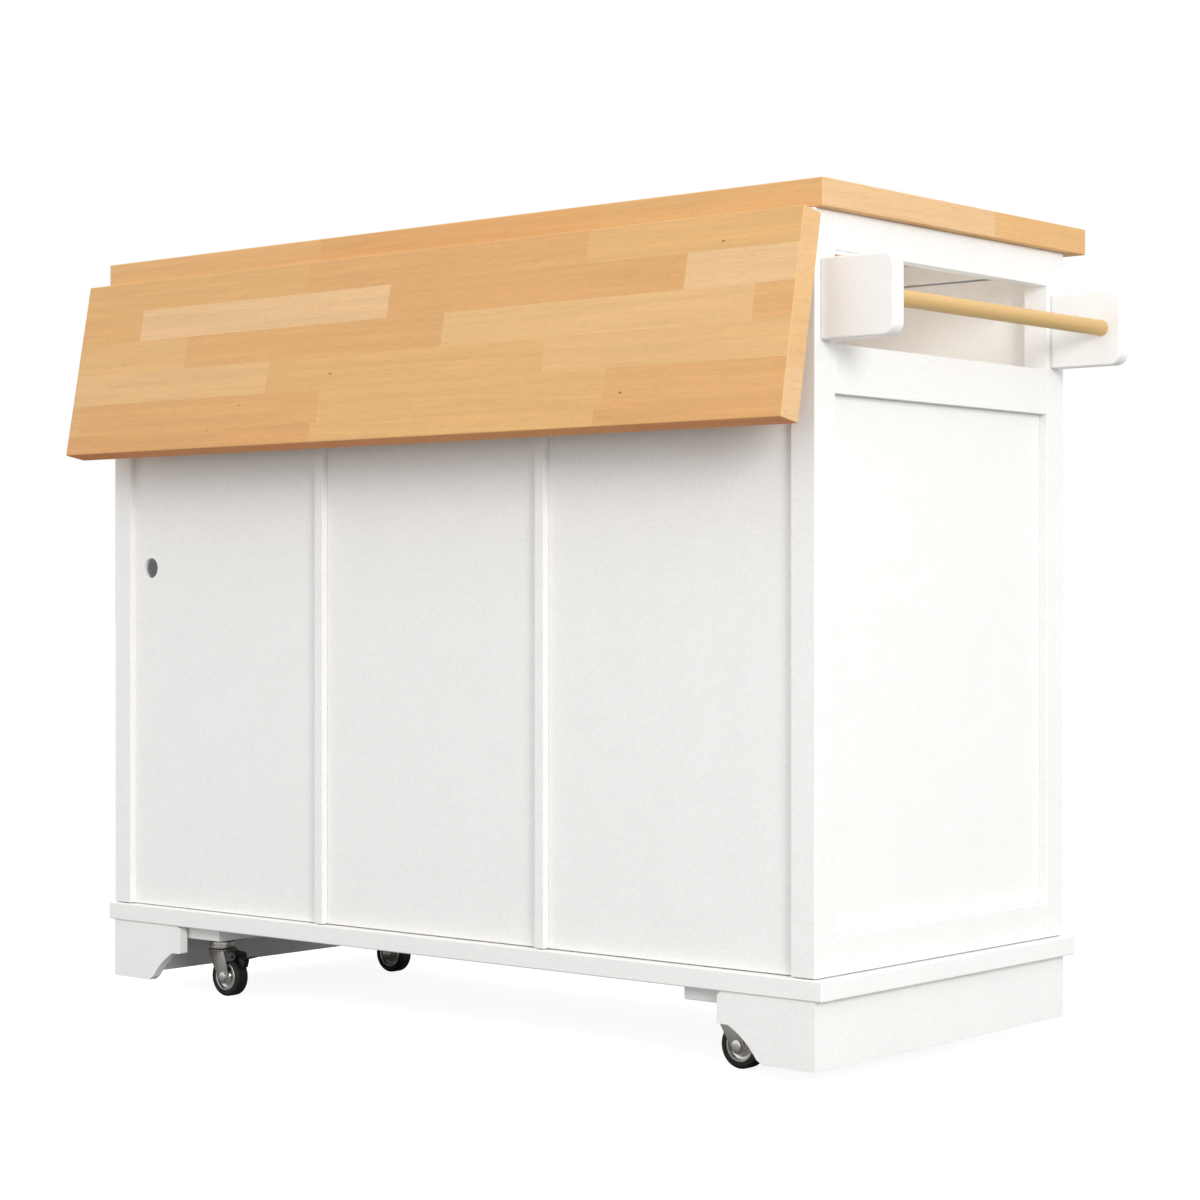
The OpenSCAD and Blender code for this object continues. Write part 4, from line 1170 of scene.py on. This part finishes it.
class CART_OT_stage(bpy.types.Operator):
    """Sets the floor, the lights, the backdrop colour and the camera"""

    bl_idname = "cart.stage"
    bl_label = "Stage"

    def execute(self, context):
        bpy.ops.object.select_all(action="DESELECT")
        bpy.ops.mesh.primitive_plane_add(size=80, location=(0, 0, 0))
        floor = bpy.context.object
        floor.name = "studio_floor"
        paper, tree, shader, place = start("matt_paper_floor", Roughness=0.9)
        mottle = add(tree, "ShaderNodeTexNoise", {"Vector": place, "Scale": per(700), "Detail": 2})
        seen = shade(tree, grey(FLOOR_SHADE), mottle.outputs["Fac"], 0.97, 1.0)
        # The floor bounces less light than it shows, as if the object stood on a smaller sheet
        direct = add(tree, "ShaderNodeLightPath").outputs["Is Camera Ray"]
        tone = add(tree, "ShaderNodeMix", {0: direct, MIX_A: grey(FLOOR_SHADE), MIX_B: seen},
                   data_type="RGBA")
        tree.links.new(tone.outputs[MIX_RESULT], shader.inputs["Base Color"])
        glow = add(tree, "ShaderNodeMapRange", {"Value": direct, "To Min": 0.0, "To Max": FLOOR_GLOW})
        shader.inputs["Emission Color"].default_value = grey(1.0)
        tree.links.new(glow.outputs[0], shader.inputs["Emission Strength"])
        floor.data.materials.append(paper)

        world = bpy.data.worlds.new("white_room")
        context.scene.world = world
        world.use_nodes = True
        tree = world.node_tree
        direct = add(tree, "ShaderNodeLightPath").outputs["Is Camera Ray"]
        tone = add(tree, "ShaderNodeMix", {0: direct, MIX_A: AMBIENT, MIX_B: grey(1.0)}, data_type="RGBA")
        tree.links.new(tone.outputs[MIX_RESULT], tree.nodes["Background"].inputs["Color"])

        for name, place, size, power in LAMPS:
            lamp = self.lamp(context, name, "AREA", place, power)
            lamp.data.shape, lamp.data.size = "DISK", size
            lamp.rotation_euler = (AIM - Vector(place)).to_track_quat("-Z", "Y").to_euler()
        for name, node, offset, power in BOUNCES:
            lamp = self.lamp(context, name, "POINT", middle(node) + offset, power)
            lamp.data.shadow_soft_size, lamp.data.color = BOUNCE_SIZE, linear(BOUNCE_TINT)[:3]
            lamp.visible_camera = False

        lens = bpy.data.cameras.new("camera")
        lens.lens, lens.sensor_width, lens.clip_end = CAMERA_LENS, 36, 100
        camera = bpy.data.objects.new("camera", lens)
        camera.location = CAMERA_PLACE
        camera.rotation_euler = (math.radians(90), 0, math.radians(CAMERA_YAW))
        context.scene.collection.objects.link(camera)
        context.scene.camera = camera
        context.scene.view_settings.view_transform = "Standard"
        return {"FINISHED"}

    def lamp(self, context, name, kind, place, power):
        light = bpy.data.lights.new(name, kind)
        light.energy = power
        lamp = bpy.data.objects.new(name, light)
        lamp.location = place
        context.scene.collection.objects.link(lamp)
        return lamp


OPERATORS = (CART_OT_stage, CART_OT_finishes, CART_OT_boards, CART_OT_worktop, CART_OT_leaf,
             CART_OT_towel_rail, CART_OT_doors, CART_OT_fronts, CART_OT_door_hardware,
             CART_OT_drawer_hardware, CART_OT_leaf_hardware, CART_OT_drawers, CART_OT_casters)


class CART_PT_panel(bpy.types.Panel):
    """Lists the sizes, the colours and the pieces"""

    bl_idname = "CART_PT_panel"
    bl_label = "Island Cart"
    bl_space_type = "VIEW_3D"
    bl_region_type = "UI"
    bl_category = "Island Cart"

    def draw(self, context):
        for group in (context.scene.cart_sizes, context.scene.cart_colours):
            for name in group.__annotations__:
                self.layout.prop(group, name)
        for operator in OPERATORS:
            self.layout.operator(operator.bl_idname)


CLASSES = (CartSizes, CartColours, CART_PT_panel) + OPERATORS


def register():
    for cls in CLASSES:
        bpy.utils.register_class(cls)
    bpy.types.Scene.cart_sizes = bpy.props.PointerProperty(type=CartSizes)
    bpy.types.Scene.cart_colours = bpy.props.PointerProperty(type=CartColours)


def unregister():
    del bpy.types.Scene.cart_colours
    del bpy.types.Scene.cart_sizes
    for cls in reversed(CLASSES):
        bpy.utils.unregister_class(cls)


def main():
    register()
    for operator in OPERATORS:
        group, name = operator.bl_idname.split(".")
        if getattr(getattr(bpy.ops, group), name)() != {"FINISHED"}:
            raise RuntimeError(operator.bl_label + " did not finish")
    for name, node in NODES.items():
        if not node.hide_render and node.data.materials[0] not in FINISHES.values():
            raise RuntimeError(f"{name} has no finish")


if __name__ == "__main__":
    main()
